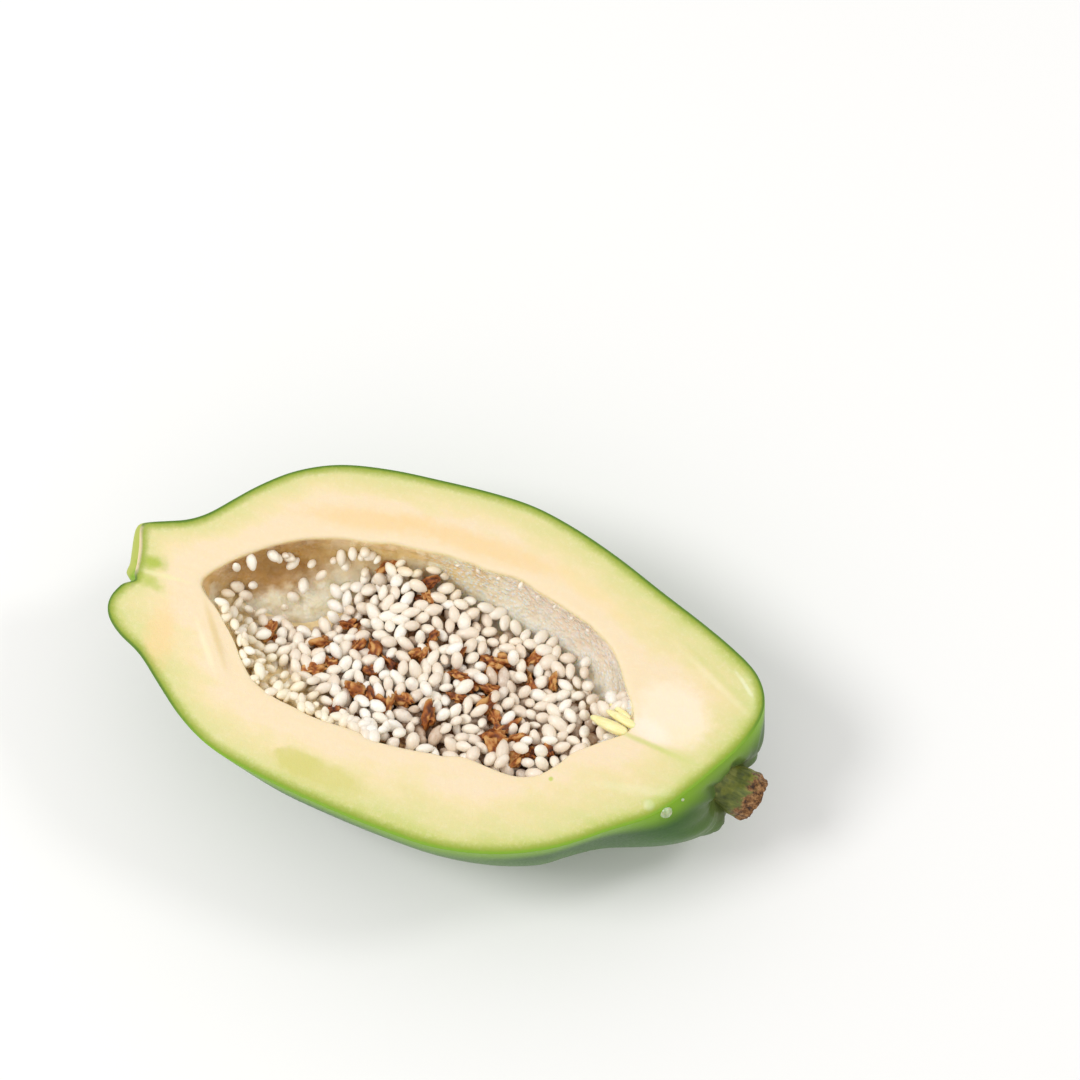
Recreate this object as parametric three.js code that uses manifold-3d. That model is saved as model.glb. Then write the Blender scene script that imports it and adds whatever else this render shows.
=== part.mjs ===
// Half of a green papaya, cut lengthwise and lying on its back with the cut face up.
// Millimetres, +Z up. +X points to the stem end, +Y across the fruit.
// While it is modelled, the cut face is the plane z = 0 and the fruit hangs below it. At the end
// the whole model is moved so that the origin is the middle of its footprint, on the surface.
import * as THREE from "three";
import { mergeVertices } from "three/addons/utils/BufferGeometryUtils.js";
import Module from "manifold-3d";

// Driving dimensions of the fruit.
const FRUIT_DEPTH = 49; // cut face to the underside, before the flat spot
const FLAT_SPOT_RISE = 0.6; // how much of the underside is flattened where it rests
const KEEL_CURVE = 0.08; // how much the underside rises toward both ends
const SIDE_FULLNESS = 2.05; // 2 is an ellipse, more is boxier
const STEM_END_FULLNESS = 4.3; // the blunt end that carries the stem
const RIB_COUNT = 5; // a papaya grows from five carpels
const RIB_HEIGHT = 0.007; // share of the radius, along the body
const SHOULDER_RIB_HEIGHT = 0.022; // share of the radius, added at the stem end

// Where the skin stands out past the cut edge or draws in below it, by direction in radians.
const SHOULDER = { direction: -0.1, width: 0.26, amount: 9 };
const GROOVE = { direction: -0.55, width: 0.12, amount: -1.2 };
const TUCK = { direction: -2.62, width: 0.4, amount: -3 };
const SWELL_DEPTH = 45; // the swelling fades out this far below the cut face
const SCAR = { direction: 3.13, width: 0.09, amount: 2.9 }; // the blossom scar

// The seed cavity.
const CAVITY_DEPTH = 30;
const CAVITY_FULLNESS = 2.3;

// The stem and the dimple that it grows from.
const STEM_BASE = new THREE.Vector3(77, -0.5, -16);
const STEM_TIP = new THREE.Vector3(96.8, -2.8, -20.1);
const STEM_FLARE_RADIUS = 8.2;
const STEM_NECK_RADIUS = 5.5;
const STEM_END_RADIUS = 6.2;
const STEM_RIBS = 7;
const DIMPLE_DEPTH = 8;
const DIMPLE_RADIUS = 9;
const GAP = 0.35; // clear space between neighbouring pieces

// The seeds, white and about half grown, and the brown shrivelled ones among them.
const SEED_RADII = new THREE.Vector3(3.4, 2.5, 2.3);
const SEED_SPACING = 6.1;
const SEED_JITTER = 2;
const SHRIVELLED_RADII = new THREE.Vector3(4, 2, 1.8);
const SHRIVELLED_SHARE = 0.1;
const RANDOM_SEED = 20817;

// Heights of the seed heap below the cut face: x, y and z of points on its top.
const HEAP_POINTS = [
  [-66, -1, -7], [-58, 4, -14], [-50, 3, -22], [-40, 10, -23], [-30, 19, -20], [-21, 26, -8],
  [-10, 27, -10], [-2, 25, -17], [12, 24, -18], [25, 22, -17], [37, 16, -18], [45, 10, -16],
  [54, 4, -8], [-55, -10, -6], [-45, -20, -5], [-30, -24, -5], [-10, -26, -5], [10, -25, -6],
  [30, -22, -7], [44, -12, -8], [52, -5, -6], [-40, -8, -11], [-20, 0, -11], [-15, 14, -10],
  [0, 5, -12], [0, -12, -9], [20, 8, -15], [20, -8, -11], [38, 2, -13], [-30, 8, -16],
];
const HEAP_SOFTNESS = 7.5;

// Plan positions of the few seeds that cling to the bare wall, and the two pale strands that
// run from the corner of the cavity out over the heap.
const WALL_SEEDS = [
  [-60, 7], [-53, 13.5], [-46.5, 17.5], [-39, 20.5], [-32, 23.5], [-50, 9.5], [-43.5, 13.5],
  [-36, 17], [3, 28], [15, 27.3], [27, 24.6],
];
const STRANDS = [
  { from: new THREE.Vector3(58.5, -1.5, -2.6), to: new THREE.Vector3(50, 5.5, -7.5), radius: 1 },
  { from: new THREE.Vector3(57, -3, -3), to: new THREE.Vector3(45.5, 4.5, -9), radius: 1.5 },
];

// Mesh fineness.
const COLUMNS = 92;
const CAVITY_ROWS = 8;
const SKIN_ROWS = 14;

// The edge of the cut face, from the notch beside the blossom scar round by the near side.
const CUT_EDGE = [
  [-87, -5.6], [-89.3, -10], [-90.7, -14.8], [-89, -19.5], [-84, -23.5], [-76.6, -27],
  [-68.5, -33.2], [-58.5, -40.5], [-47, -45.8], [-30, -48.9], [-13, -50.6], [4, -51.5], [20, -51.2],
  [36, -47.3], [50, -40.4], [62, -31], [72, -22.8], [78.5, -13.5], [84, -4], [88.3, 4.5],
  [90.6, 13], [89.8, 19.5], [85.5, 25.3], [78, 29.6], [67, 34.2], [53, 39.3], [39, 44.6],
  [25, 48.8], [11, 51.4], [-3, 51.2], [-17, 49.9], [-31, 48.2], [-45, 44.8], [-56, 38.8],
  [-64, 31.3], [-69.7, 24.3], [-74.2, 18.6], [-79, 14.7], [-84.5, 12.2], [-88.9, 10],
  [-89.8, 6.2], [-88.1, 0.3],
];

// The rim of the seed cavity, from its blossom-end corner round by the near side.
const CAVITY_RIM = [
  [-69.2, -1], [-60, -8.4], [-52.5, -15.4], [-46, -22.4], [-37, -25.6], [-24, -27.4], [-8, -28],
  [7, -27], [19, -24.6], [30, -24.7], [39, -22.4], [45.3, -14.2], [51.5, -8], [57.8, -1.2],
  [54.5, 7.2], [48.5, 15.6], [40, 22.2], [28, 26.2], [13, 29], [-4, 29.3], [-22, 27.3],
  [-38, 23.8], [-51, 17.3], [-61.5, 8.6],
];

const wasm = await Module();
wasm.setup();

// Numbers from 0 to 1 that are the same at every run.
function randomDraws(start) {
  let state = start;
  return () => {
    state = (state * 16807) % 2147483647;
    return state / 2147483647;
  };
}

// A closed plan outline through its points, with the distance from the middle to it at any angle.
class Outline {
  constructor(points) {
    const corners = points.map(([x, y]) => new THREE.Vector3(x, y, 0));
    this.curve = new THREE.CatmullRomCurve3(corners, true, "catmullrom", 0.5);
    this.samples = this.curve.getPoints(points.length * 12).slice(0, -1);
  }

  reach(angle) {
    const along = new THREE.Vector3(Math.cos(angle), Math.sin(angle), 0);
    const count = this.samples.length;
    for (let i = 0; i < count; i++) {
      const a = this.samples[i];
      const b = this.samples[(i + 1) % count];
      const sideA = along.x * a.y - along.y * a.x;
      const sideB = along.x * b.y - along.y * b.x;
      if (sideA <= 0 && sideB > 0 && a.dot(along) > 0) {
        return a.clone().lerp(b, sideA / (sideA - sideB)).length();
      }
    }
    throw new Error("the outline doesn't go round the middle");
  }

  softReach(angle, spread) {
    const offsets = [-1, -0.6, -0.25, 0, 0.25, 0.6, 1];
    const total = offsets.reduce((sum, offset) => sum + this.reach(angle + offset * spread), 0);
    return total / offsets.length;
  }
}

const cutEdge = new Outline(CUT_EDGE);
const cavityRim = new Outline(CAVITY_RIM);

// A sphere whose vertices are placed by column share (0 to 1 round it) and row.
function shapedSphere(columns, rows, place) {
  const geometry = new THREE.SphereGeometry(1, columns, rows);
  const position = geometry.getAttribute("position");
  for (let i = 0; i < position.count; i++) {
    const column = (i % (columns + 1)) % columns;
    const row = Math.floor(i / (columns + 1));
    position.setXYZ(i, ...place(column / columns, row).toArray());
  }
  return geometry;
}

function solidOf(geometry) {
  const bare = geometry.clone();
  bare.deleteAttribute("normal");
  bare.deleteAttribute("uv");
  const merged = mergeVertices(bare, 1e-4);
  const mesh = new wasm.Mesh({
    numProp: 3,
    vertProperties: new Float32Array(merged.getAttribute("position").array),
    triVerts: new Uint32Array(merged.index.array),
  });
  return new wasm.Manifold(mesh);
}

function geometryOf(solid) {
  const { vertProperties, triVerts } = solid.getMesh();
  const geometry = new THREE.BufferGeometry();
  geometry.setAttribute("position", new THREE.BufferAttribute(vertProperties, 3));
  geometry.setIndex(new THREE.BufferAttribute(triVerts, 1));
  geometry.computeVertexNormals();
  return geometry;
}

// How far down and how far in a bowl's wall is, for a turn of 0 at its edge to 1 at its bottom.
function bowlWall(turn, fullness) {
  const across = turn >= 1 ? 0 : Math.cos(turn * (Math.PI / 2));
  const below = Math.sin(Math.min(turn, 1) * (Math.PI / 2));
  const size = (across ** fullness + below ** fullness) ** (-1 / fullness);
  return { inward: across * size, down: below * size };
}

// 1 in the middle of a feature's direction, falling off to both sides.
function nearness(angle, feature) {
  const off = Math.atan2(Math.sin(angle - feature.direction), Math.cos(angle - feature.direction));
  return Math.exp(-((off / feature.width) ** 4));
}

const stemAxis = STEM_TIP.clone().sub(STEM_BASE).normalize();

// The dimple round the stem, pressed in along the stem's axis. The cut edge stays where it is.
function pressDimple(point) {
  const fromBase = point.clone().sub(STEM_BASE);
  const along = fromBase.dot(stemAxis);
  const away = fromBase.addScaledVector(stemAxis, -along).length();
  const belowFace = THREE.MathUtils.smoothstep(-point.z, 0, 8);
  const press = DIMPLE_DEPTH * Math.exp(-((away / DIMPLE_RADIUS) ** 2)) * belowFace;
  return along > -20 ? point.addScaledVector(stemAxis, -press) : point;
}

// The outer skin: a bowl below the cut edge, ribbed lengthwise and blunt at the stem end.
function skinPoint(angle, turn) {
  const stemward = Math.max(0, Math.cos(angle)) ** 3;
  const fullness = THREE.MathUtils.lerp(SIDE_FULLNESS, STEM_END_FULLNESS, stemward);
  const { inward, down } = bowlWall(turn, fullness);
  const depth = FRUIT_DEPTH * down;
  const soften = THREE.MathUtils.smoothstep(turn, 0, 0.55);
  const sharp = cutEdge.reach(angle);
  const reach = THREE.MathUtils.lerp(sharp, cutEdge.softReach(angle, 0.22), soften);
  const swell = [SHOULDER, GROOVE, TUCK].reduce(
    (sum, feature) => sum + feature.amount * nearness(angle, feature), 0);
  const fade = Math.sin(Math.PI * Math.min(1, depth / SWELL_DEPTH));
  const scarFade = Math.min(1, depth / 2) * (1 - soften) ** 3;
  const scar = SCAR.amount * nearness(angle, SCAR) * scarFade;
  const plan = reach * inward + swell * fade + scar;
  const point = new THREE.Vector3(plan * Math.cos(angle), plan * Math.sin(angle), -depth);
  const round = Math.atan2(-point.z, point.y);
  const height = RIB_HEIGHT + SHOULDER_RIB_HEIGHT * stemward;
  const rib = height * Math.sin(round) * (Math.cos(RIB_COUNT * (round - Math.PI / 2)) - 1);
  point.y *= 1 + rib;
  point.z *= (1 + rib) * (1 - KEEL_CURVE * ((point.x - 6) / 90) ** 2);
  pressDimple(point);
  point.z = Math.max(point.z, FLAT_SPOT_RISE - FRUIT_DEPTH);
  return point;
}

// The cavity's wall, kept clear of it by a gap where a neighbour is made from it.
function cavityPoint(angle, turn, clear = 0) {
  const { inward, down } = bowlWall(turn, CAVITY_FULLNESS);
  const plan = (cavityRim.reach(angle) - clear) * inward;
  return new THREE.Vector3(
    plan * Math.cos(angle), plan * Math.sin(angle), -(CAVITY_DEPTH - clear) * down);
}

// The height of the cavity's wall below a point of the plan, and null outside its rim.
function cavityFloor(x, y) {
  const share = Math.hypot(x, y) / cavityRim.reach(Math.atan2(y, x));
  if (share >= 1) return null;
  return -CAVITY_DEPTH * (1 - share ** CAVITY_FULLNESS) ** (1 / CAVITY_FULLNESS);
}

function columnAngle(share) {
  const point = cutEdge.curve.getPoint(share);
  return Math.atan2(point.y, point.x);
}

// One closed surface: up the cavity's wall, over the cut face and down the skin.
function fruitGeometry() {
  return shapedSphere(COLUMNS, CAVITY_ROWS + 1 + SKIN_ROWS, (share, row) => {
    const angle = columnAngle(share);
    if (row <= CAVITY_ROWS) return cavityPoint(angle, 1 - row / CAVITY_ROWS);
    return skinPoint(angle, ((row - CAVITY_ROWS - 1) / SKIN_ROWS) ** 1.4);
  });
}

// The stem: flared where it grows from the fruit, ribbed, with a rough cut end.
function stemGeometry(grow) {
  const columns = 28;
  const rings = 9;
  const length = STEM_TIP.distanceTo(STEM_BASE);
  const across = new THREE.Vector3(0, 0, 1).cross(stemAxis).normalize();
  const upward = stemAxis.clone().cross(across);
  return shapedSphere(columns, rings + 2, (share, row) => {
    const station = THREE.MathUtils.clamp((row - 1) / rings, 0, 1);
    const capped = row === 0 || row === rings + 2;
    const turn = share * 2 * Math.PI;
    const flare = (STEM_FLARE_RADIUS - STEM_NECK_RADIUS) * Math.exp(-station * 5.5);
    const swell = (STEM_END_RADIUS - STEM_NECK_RADIUS) * station ** 3;
    const rib = 1 + 0.05 * Math.cos(STEM_RIBS * turn) + 0.03 * Math.sin(2 * turn + 1);
    const knob = station > 0.99 ? 0.86 + 0.05 * Math.cos(3 * turn) : 1;
    const radius = capped ? 0 : (STEM_NECK_RADIUS + flare + swell) * rib * knob + grow;
    const rough = station > 0.99 && !capped ? 0.5 * Math.sin(4 * turn) : 0;
    const end = row === rings + 2 ? -1 : 0; // the cut end is slightly hollow
    const along = station * length + rough + end + (row <= 1 ? -grow : 0);
    const bend = 1.4 * Math.sin(Math.PI * station);
    return STEM_BASE.clone()
      .addScaledVector(stemAxis, along)
      .addScaledVector(across, radius * Math.cos(turn))
      .addScaledVector(upward, -radius * Math.sin(turn) - bend);
  });
}

// The top of the seed heap, blended from its points.
function heapTop(x, y) {
  let total = 0;
  let weights = 0;
  for (const [px, py, pz] of HEAP_POINTS) {
    const weight = Math.exp(-((x - px) ** 2 + (y - py) ** 2) / (2 * HEAP_SOFTNESS ** 2)) + 1e-9;
    total += weight * pz;
    weights += weight;
  }
  return total / weights;
}

// A block whose top follows the heap's top, a little lower, so that the seeds stand out of it.
function heapCoreGeometry() {
  const core = new THREE.BoxGeometry(150, 70, 60, 26, 12, 1);
  const position = core.getAttribute("position");
  for (let i = 0; i < position.count; i++) {
    const isTop = position.getZ(i) > 0;
    position.setZ(i, isTop ? heapTop(position.getX(i), position.getY(i)) - 1 : -60);
  }
  return core;
}

function seedSolid(radii, turns, place, grow = 0) {
  const geometry = new THREE.IcosahedronGeometry(1, 0);
  geometry.scale(radii.x + grow, radii.y + grow, radii.z + grow);
  geometry.applyMatrix4(new THREE.Matrix4().makeRotationFromEuler(new THREE.Euler(...turns)));
  geometry.translate(place.x, place.y, place.z);
  return solidOf(geometry);
}

// Seeds on a jittered triangular grid over the heap, each turned at random.
function heapSeeds() {
  const draw = randomDraws(RANDOM_SEED);
  const seeds = [];
  for (let row = -5; row <= 5; row++) {
    for (let column = -12; column <= 10; column++) {
      const shift = row % 2 === 0 ? 0 : 0.5;
      const x = (column + shift) * SEED_SPACING + (draw() - 0.5) * SEED_JITTER;
      const y = row * SEED_SPACING * Math.sqrt(0.75) + (draw() - 0.5) * SEED_JITTER;
      const turns = [(draw() - 0.5) * 1.2, (draw() - 0.5) * 1.6, draw() * Math.PI];
      const radii = draw() < SHRIVELLED_SHARE ? SHRIVELLED_RADII : SEED_RADII;
      const floor = cavityFloor(x, y);
      const top = heapTop(x, y);
      if (floor === null || floor > top - 1) continue;
      seeds.push(seedSolid(radii, turns, new THREE.Vector3(x, y, top)));
    }
  }
  return seeds;
}

// The few seeds that cling to the bare wall, sunk into it where they grow.
function wallSeeds(grow) {
  const draw = randomDraws(RANDOM_SEED + 1);
  return WALL_SEEDS.map(([x, y]) => {
    const turns = [draw() - 0.5, draw() - 0.5, draw() * Math.PI];
    const place = new THREE.Vector3(x, y, cavityFloor(x, y) + 0.4);
    return seedSolid(SEED_RADII, turns, place, grow);
  });
}

function strandSolids(grow) {
  return STRANDS.map(({ from, to, radius }) => {
    const run = to.clone().sub(from);
    const geometry = new THREE.CapsuleGeometry(radius + grow, run.length(), 2, 7);
    const upright = new THREE.Vector3(0, 1, 0);
    const turn = new THREE.Quaternion().setFromUnitVectors(upright, run.clone().normalize());
    geometry.applyQuaternion(turn);
    const middle = from.clone().add(to).multiplyScalar(0.5);
    geometry.translate(middle.x, middle.y, middle.z);
    return solidOf(geometry);
  });
}

// Everything loose in the cavity, cut clear of the cavity's wall and of what grows on it.
function heapSolid() {
  const room = solidOf(shapedSphere(COLUMNS, CAVITY_ROWS + 1, (share, row) => {
    const angle = columnAngle(share);
    if (row === 0) return new THREE.Vector3(0, 0, 0);
    return cavityPoint(angle, (row - 1) / CAVITY_ROWS, GAP);
  }));
  const pile = wasm.Manifold.union([solidOf(heapCoreGeometry()), ...heapSeeds()]);
  const grown = wasm.Manifold.union([...wallSeeds(GAP), ...strandSolids(GAP)]);
  const pieces = pile.intersect(room).subtract(grown).decompose();
  return pieces.reduce((largest, piece) => (piece.volume() > largest.volume() ? piece : largest));
}

function fruitSolid() {
  const whole = solidOf(fruitGeometry());
  const socket = solidOf(stemGeometry(GAP));
  return wasm.Manifold.union([whole, ...wallSeeds(0), ...strandSolids(0)]).subtract(socket);
}

function namedMesh(name, geometry, colour, roughness) {
  const material = new THREE.MeshStandardMaterial({ color: colour, roughness, metalness: 0 });
  const mesh = new THREE.Mesh(geometry, material);
  mesh.name = name;
  return mesh;
}

const papaya = new THREE.Group();
papaya.add(namedMesh("fruit_half", geometryOf(fruitSolid()), 0xf6e3b4, 0.45));
papaya.add(namedMesh("stem", stemGeometry(0), 0x6f7a32, 0.7));
papaya.add(namedMesh("seed_heap", geometryOf(heapSolid()), 0xefe3d6, 0.35));

const box = new THREE.Box3().setFromObject(papaya);
papaya.position.set(-(box.min.x + box.max.x) / 2, -(box.min.y + box.max.y) / 2, -box.min.z);

export default papaya;
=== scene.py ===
# %% [markdown]
# # Half of a green papaya
# A young papaya has been cut lengthwise and lies on its rounded back. We look down on the cut
# face: a thin green edge, cream flesh, and an open hollow full of small white seeds. The packed
# CAD model is loaded first, because every piece here has to sit exactly where it says.

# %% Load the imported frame
import math

import bpy
import numpy as np
from mathutils import Euler, Matrix, Vector, kdtree, noise


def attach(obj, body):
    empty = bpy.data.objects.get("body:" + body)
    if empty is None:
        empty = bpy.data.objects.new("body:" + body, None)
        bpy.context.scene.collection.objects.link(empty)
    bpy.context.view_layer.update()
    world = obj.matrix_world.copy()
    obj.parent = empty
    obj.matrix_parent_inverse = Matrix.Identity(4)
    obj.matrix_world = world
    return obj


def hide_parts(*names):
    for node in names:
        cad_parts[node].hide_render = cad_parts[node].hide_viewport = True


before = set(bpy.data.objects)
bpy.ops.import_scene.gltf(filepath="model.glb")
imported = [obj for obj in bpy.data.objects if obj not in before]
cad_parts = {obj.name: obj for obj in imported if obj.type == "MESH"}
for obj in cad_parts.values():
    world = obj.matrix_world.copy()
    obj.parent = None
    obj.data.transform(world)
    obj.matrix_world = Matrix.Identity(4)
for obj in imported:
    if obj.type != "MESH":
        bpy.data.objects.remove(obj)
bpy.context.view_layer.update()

print("CAD nodes:", sorted(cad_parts))

# %% [markdown]
# ## Camera, floor and light
# The photo looks steeply down on the cut face, from the near side and a little from the stem end.
# The stage is only a pale floor. The light is soft: a wide panel on the left and a weaker one on
# the right, with a bright room around them, so the white seeds keep gentle shadows.

# %% Place the camera
VIEW_TARGET = Vector((0.01292, 0.04227, 0.0484))
VIEW_DISTANCE = 0.85
VIEW_TURN = math.radians(19.82)
VIEW_HEIGHT = math.radians(68)
LENS = 101.19


def aimed(place, target):
    """The turn of a camera or light at a place that looks at a target, with its top up."""
    return (Vector(target) - Vector(place)).to_track_quat("-Z", "Y").to_euler()


back = Vector((
    math.sin(VIEW_TURN) * math.cos(VIEW_HEIGHT),
    -math.cos(VIEW_TURN) * math.cos(VIEW_HEIGHT),
    math.sin(VIEW_HEIGHT),
))
camera_place = VIEW_TARGET + back * VIEW_DISTANCE
bpy.ops.object.camera_add(location=camera_place, rotation=aimed(camera_place, VIEW_TARGET))
camera = bpy.context.object
camera.name = "photo_camera"
camera.data.lens = LENS
camera.data.sensor_width = 36
camera.data.dof.use_dof = False
bpy.context.scene.camera = camera
print("camera at", [round(v, 3) for v in camera.location])

# %% Colours and the floor


def paint(red, green, blue):
    """A colour given on the usual 0-255 scale, as Blender's linear colour."""
    return (*(((v / 255 + 0.055) / 1.055) ** 2.4 for v in (red, green, blue)), 1)


def deselect_all():
    bpy.ops.object.select_all(action="DESELECT")


deselect_all()
bpy.ops.mesh.primitive_plane_add(size=6, location=(0, 0, 0))
floor = bpy.context.object
floor.name = "pale_floor"
floor_paper = bpy.data.materials.new("floor_paper")
floor_paper.use_nodes = True
floor_shader = floor_paper.node_tree.nodes["Principled BSDF"].inputs
floor_shader["Base Color"].default_value = paint(246, 245, 243)
floor_shader["Roughness"].default_value = 0.85
floor_shader["Specular IOR Level"].default_value = 0.2
floor.data.materials.append(floor_paper)
print("the floor is", floor.dimensions.x, "m wide")

# %% Light it
LIGHT_TARGET = (0, 0, 0.03)
ROOM_BRIGHTNESS = 0.72


def soft_panel(name, place, size, power):
    bpy.ops.object.light_add(type="AREA", location=place, rotation=aimed(place, LIGHT_TARGET))
    panel = bpy.context.object
    panel.name = name
    panel.data.shape = "DISK"
    panel.data.size = size
    panel.data.energy = power
    print(name, "gives", power, "W")


soft_panel("panel_left", (-0.7, -0.35, 1.1), 0.5, 6.8)
soft_panel("panel_right", (0.7, 0.45, 0.9), 0.25, 2.2)
room = bpy.data.worlds.new("bright_room")
room.use_nodes = True
room_light = room.node_tree.nodes["Background"].inputs
room_light["Color"].default_value = (1, 1, 1, 1)
room_light["Strength"].default_value = ROOM_BRIGHTNESS
bpy.context.scene.world = room
bpy.context.scene.view_settings.view_transform = "Standard"
bpy.context.scene.view_settings.look = "None"

# %% [markdown]
# ## The two outlines
# Two closed lines steer the whole fruit: the edge of the cut face, where the knife met the skin,
# and the rim of the seed hollow. They are the CAD model's own control points in millimetres, with
# the origin in the middle of the cut face. A smooth curve through them gives the distance from
# the middle to the line in any direction, which is all that the shapes below need.

# %% Draw the outlines
CUT_EDGE = [
    (-87, -5.6), (-89.3, -10), (-90.7, -14.8), (-89, -19.5), (-84, -23.5), (-76.6, -27),
    (-68.5, -33.2), (-58.5, -40.5), (-47, -45.8), (-30, -48.9), (-13, -50.6), (4, -51.5),
    (20, -51.2), (36, -47.3), (50, -40.4), (62, -31), (72, -22.8), (78.5, -13.5), (84, -4),
    (88.3, 4.5), (90.6, 13), (89.8, 19.5), (85.5, 25.3), (78, 29.6), (67, 34.2), (53, 39.3),
    (39, 44.6), (25, 48.8), (11, 51.4), (-3, 51.2), (-17, 49.9), (-31, 48.2), (-45, 44.8),
    (-56, 38.8), (-64, 31.3), (-69.7, 24.3), (-74.2, 18.6), (-79, 14.7), (-84.5, 12.2),
    (-88.9, 10), (-89.8, 6.2), (-88.1, 0.3),
]
CAVITY_RIM = [
    (-69.2, -1), (-60, -8.4), (-52.5, -15.4), (-46, -22.4), (-37, -25.6), (-24, -27.4),
    (-8, -28), (7, -27), (19, -24.6), (30, -24.7), (39, -22.4), (45.3, -14.2), (51.5, -8),
    (57.8, -1.2), (54.5, 7.2), (48.5, 15.6), (40, 22.2), (28, 26.2), (13, 29), (-4, 29.3),
    (-22, 27.3), (-38, 23.8), (-51, 17.3), (-61.5, 8.6),
]
MM = 0.001
FRUIT_PLACE = np.array([-3.12, 0, 48.4])  # the middle of the cut face in the CAD frame, in mm


def smooth_step(value, low, high):
    share = np.clip((value - low) / (high - low), 0, 1)
    return share * share * (3 - 2 * share)


def bell(distance, width):
    return np.exp(-((distance / width) ** 2))


def ring_points(plan, angle, height):
    return np.stack([plan * np.cos(angle), plan * np.sin(angle), height + 0 * plan], 1)


def smooth_loop(corners, steps=12):
    """A smooth closed line through its corners, with so many points from corner to corner."""
    start = np.array(corners, float)
    end = np.roll(start, -1, 0)
    leave = (end - np.roll(start, 1, 0)) / 2
    arrive = (np.roll(start, -2, 0) - start) / 2
    start, end, leave, arrive = (v[:, None] for v in (start, end, leave, arrive))
    t = (np.arange(steps) / steps)[None, :, None]
    cubic = 2 * start - 2 * end + leave + arrive
    square = -3 * start + 3 * end - 2 * leave - arrive
    return (cubic * t**3 + square * t**2 + leave * t + start).reshape(-1, 2)


class Outline:
    """A closed line round the middle, read by direction or by the share of the way round it."""

    def __init__(self, corners):
        self.line = smooth_loop(corners)
        angle = np.arctan2(self.line[:, 1], self.line[:, 0])
        order = np.argsort(angle)
        self.angles = angle[order]
        self.sizes = np.hypot(*self.line[order].T)
        steps = np.hypot(*(np.roll(self.line, -1, 0) - self.line).T)
        self.shares = np.concatenate([[0], np.cumsum(steps)]) / steps.sum()
        unwrapped = np.unwrap(angle)
        self.turned = np.append(unwrapped, unwrapped[0] + 2 * np.pi)

    def reach(self, angle):
        return np.interp(angle, self.angles, self.sizes, period=2 * np.pi)

    def soft_reach(self, angle, spread):
        nearby = (-1, -0.6, -0.25, 0, 0.25, 0.6, 1)
        return np.mean([self.reach(angle + share * spread) for share in nearby], 0)

    def angle_at(self, share):
        return np.interp(share, self.shares, self.turned)


cut_edge = Outline(CUT_EDGE)
cavity_rim = Outline(CAVITY_RIM)
print("cut face:", np.ptp(cut_edge.line, 0).round(1), "mm")
print("hollow:", np.ptp(cavity_rim.line, 0).round(1), "mm")

# %% [markdown]
# ## The curved walls
# Below the cut face the skin is a deep bowl, ribbed lengthwise because a papaya grows from five
# carpels, and blunt at the stem end. The hollow is a shallower bowl. Both are the CAD model's own
# formulas, so the dressed fruit keeps the CAD model's shape.

# %% The skin and the hollow as formulas
FRUIT_DEPTH = 49
FLAT_SPOT = 48.4
KEEL_CURVE, KEEL_MIDDLE, KEEL_REACH = 0.08, 6, 90
SOFTENED_BY, OUTLINE_BLUR = 0.55, 0.22  # the outline's small wiggles fade out down the wall
SIDE_FULLNESS, STEM_END_FULLNESS = 2.05, 4.3
RIB_COUNT, RIB_HEIGHT, SHOULDER_RIB_HEIGHT = 5, 0.007, 0.022
SWELLS = [(-0.1, 0.26, 9), (-0.55, 0.12, -1.2), (-2.62, 0.4, -3)]  # direction, width, amount
SWELL_DEPTH = 45
SCAR, SCAR_DROP = (3.13, 0.09, 2.9), 2
CAVITY_DEPTH, CAVITY_FULLNESS = 30, 2.3
STEM_BASE, STEM_TIP = np.array([77, -0.5, -16]), np.array([96.8, -2.8, -20.1])
DIMPLE_DEPTH, DIMPLE_RADIUS, DIMPLE_REACH = 8, 9, 20
stem_length = np.linalg.norm(STEM_TIP - STEM_BASE)
stem_axis = (STEM_TIP - STEM_BASE) / stem_length


def bowl_wall(turn, fullness):
    """How far in and how far down a bowl's wall is, for a turn of 0 at its edge to 1 at the bottom."""
    across, below = np.cos(turn * np.pi / 2).clip(0), np.sin(turn * np.pi / 2)
    size = (across**fullness + below**fullness) ** (-1 / fullness)
    return across * size, below * size


def nearness(angle, feature):
    direction, width, amount = feature
    off = np.arctan2(np.sin(angle - direction), np.cos(angle - direction))
    return amount * np.exp(-((off / width) ** 4))


def round_stem(points):
    """How far points lie along the stem's line, and how they are set off from it."""
    from_base = points - STEM_BASE
    along = from_base @ stem_axis
    return along, from_base - along[:, None] * stem_axis


def press_dimple(points):
    """Presses the hollow round the stem into the skin, along the stem's own direction."""
    along, offset = round_stem(points)
    press = DIMPLE_DEPTH * bell(np.linalg.norm(offset, axis=1), DIMPLE_RADIUS)
    press *= smooth_step(-points[:, 2], 0, 8) * (along > -DIMPLE_REACH)
    return points - press[:, None] * stem_axis


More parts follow.
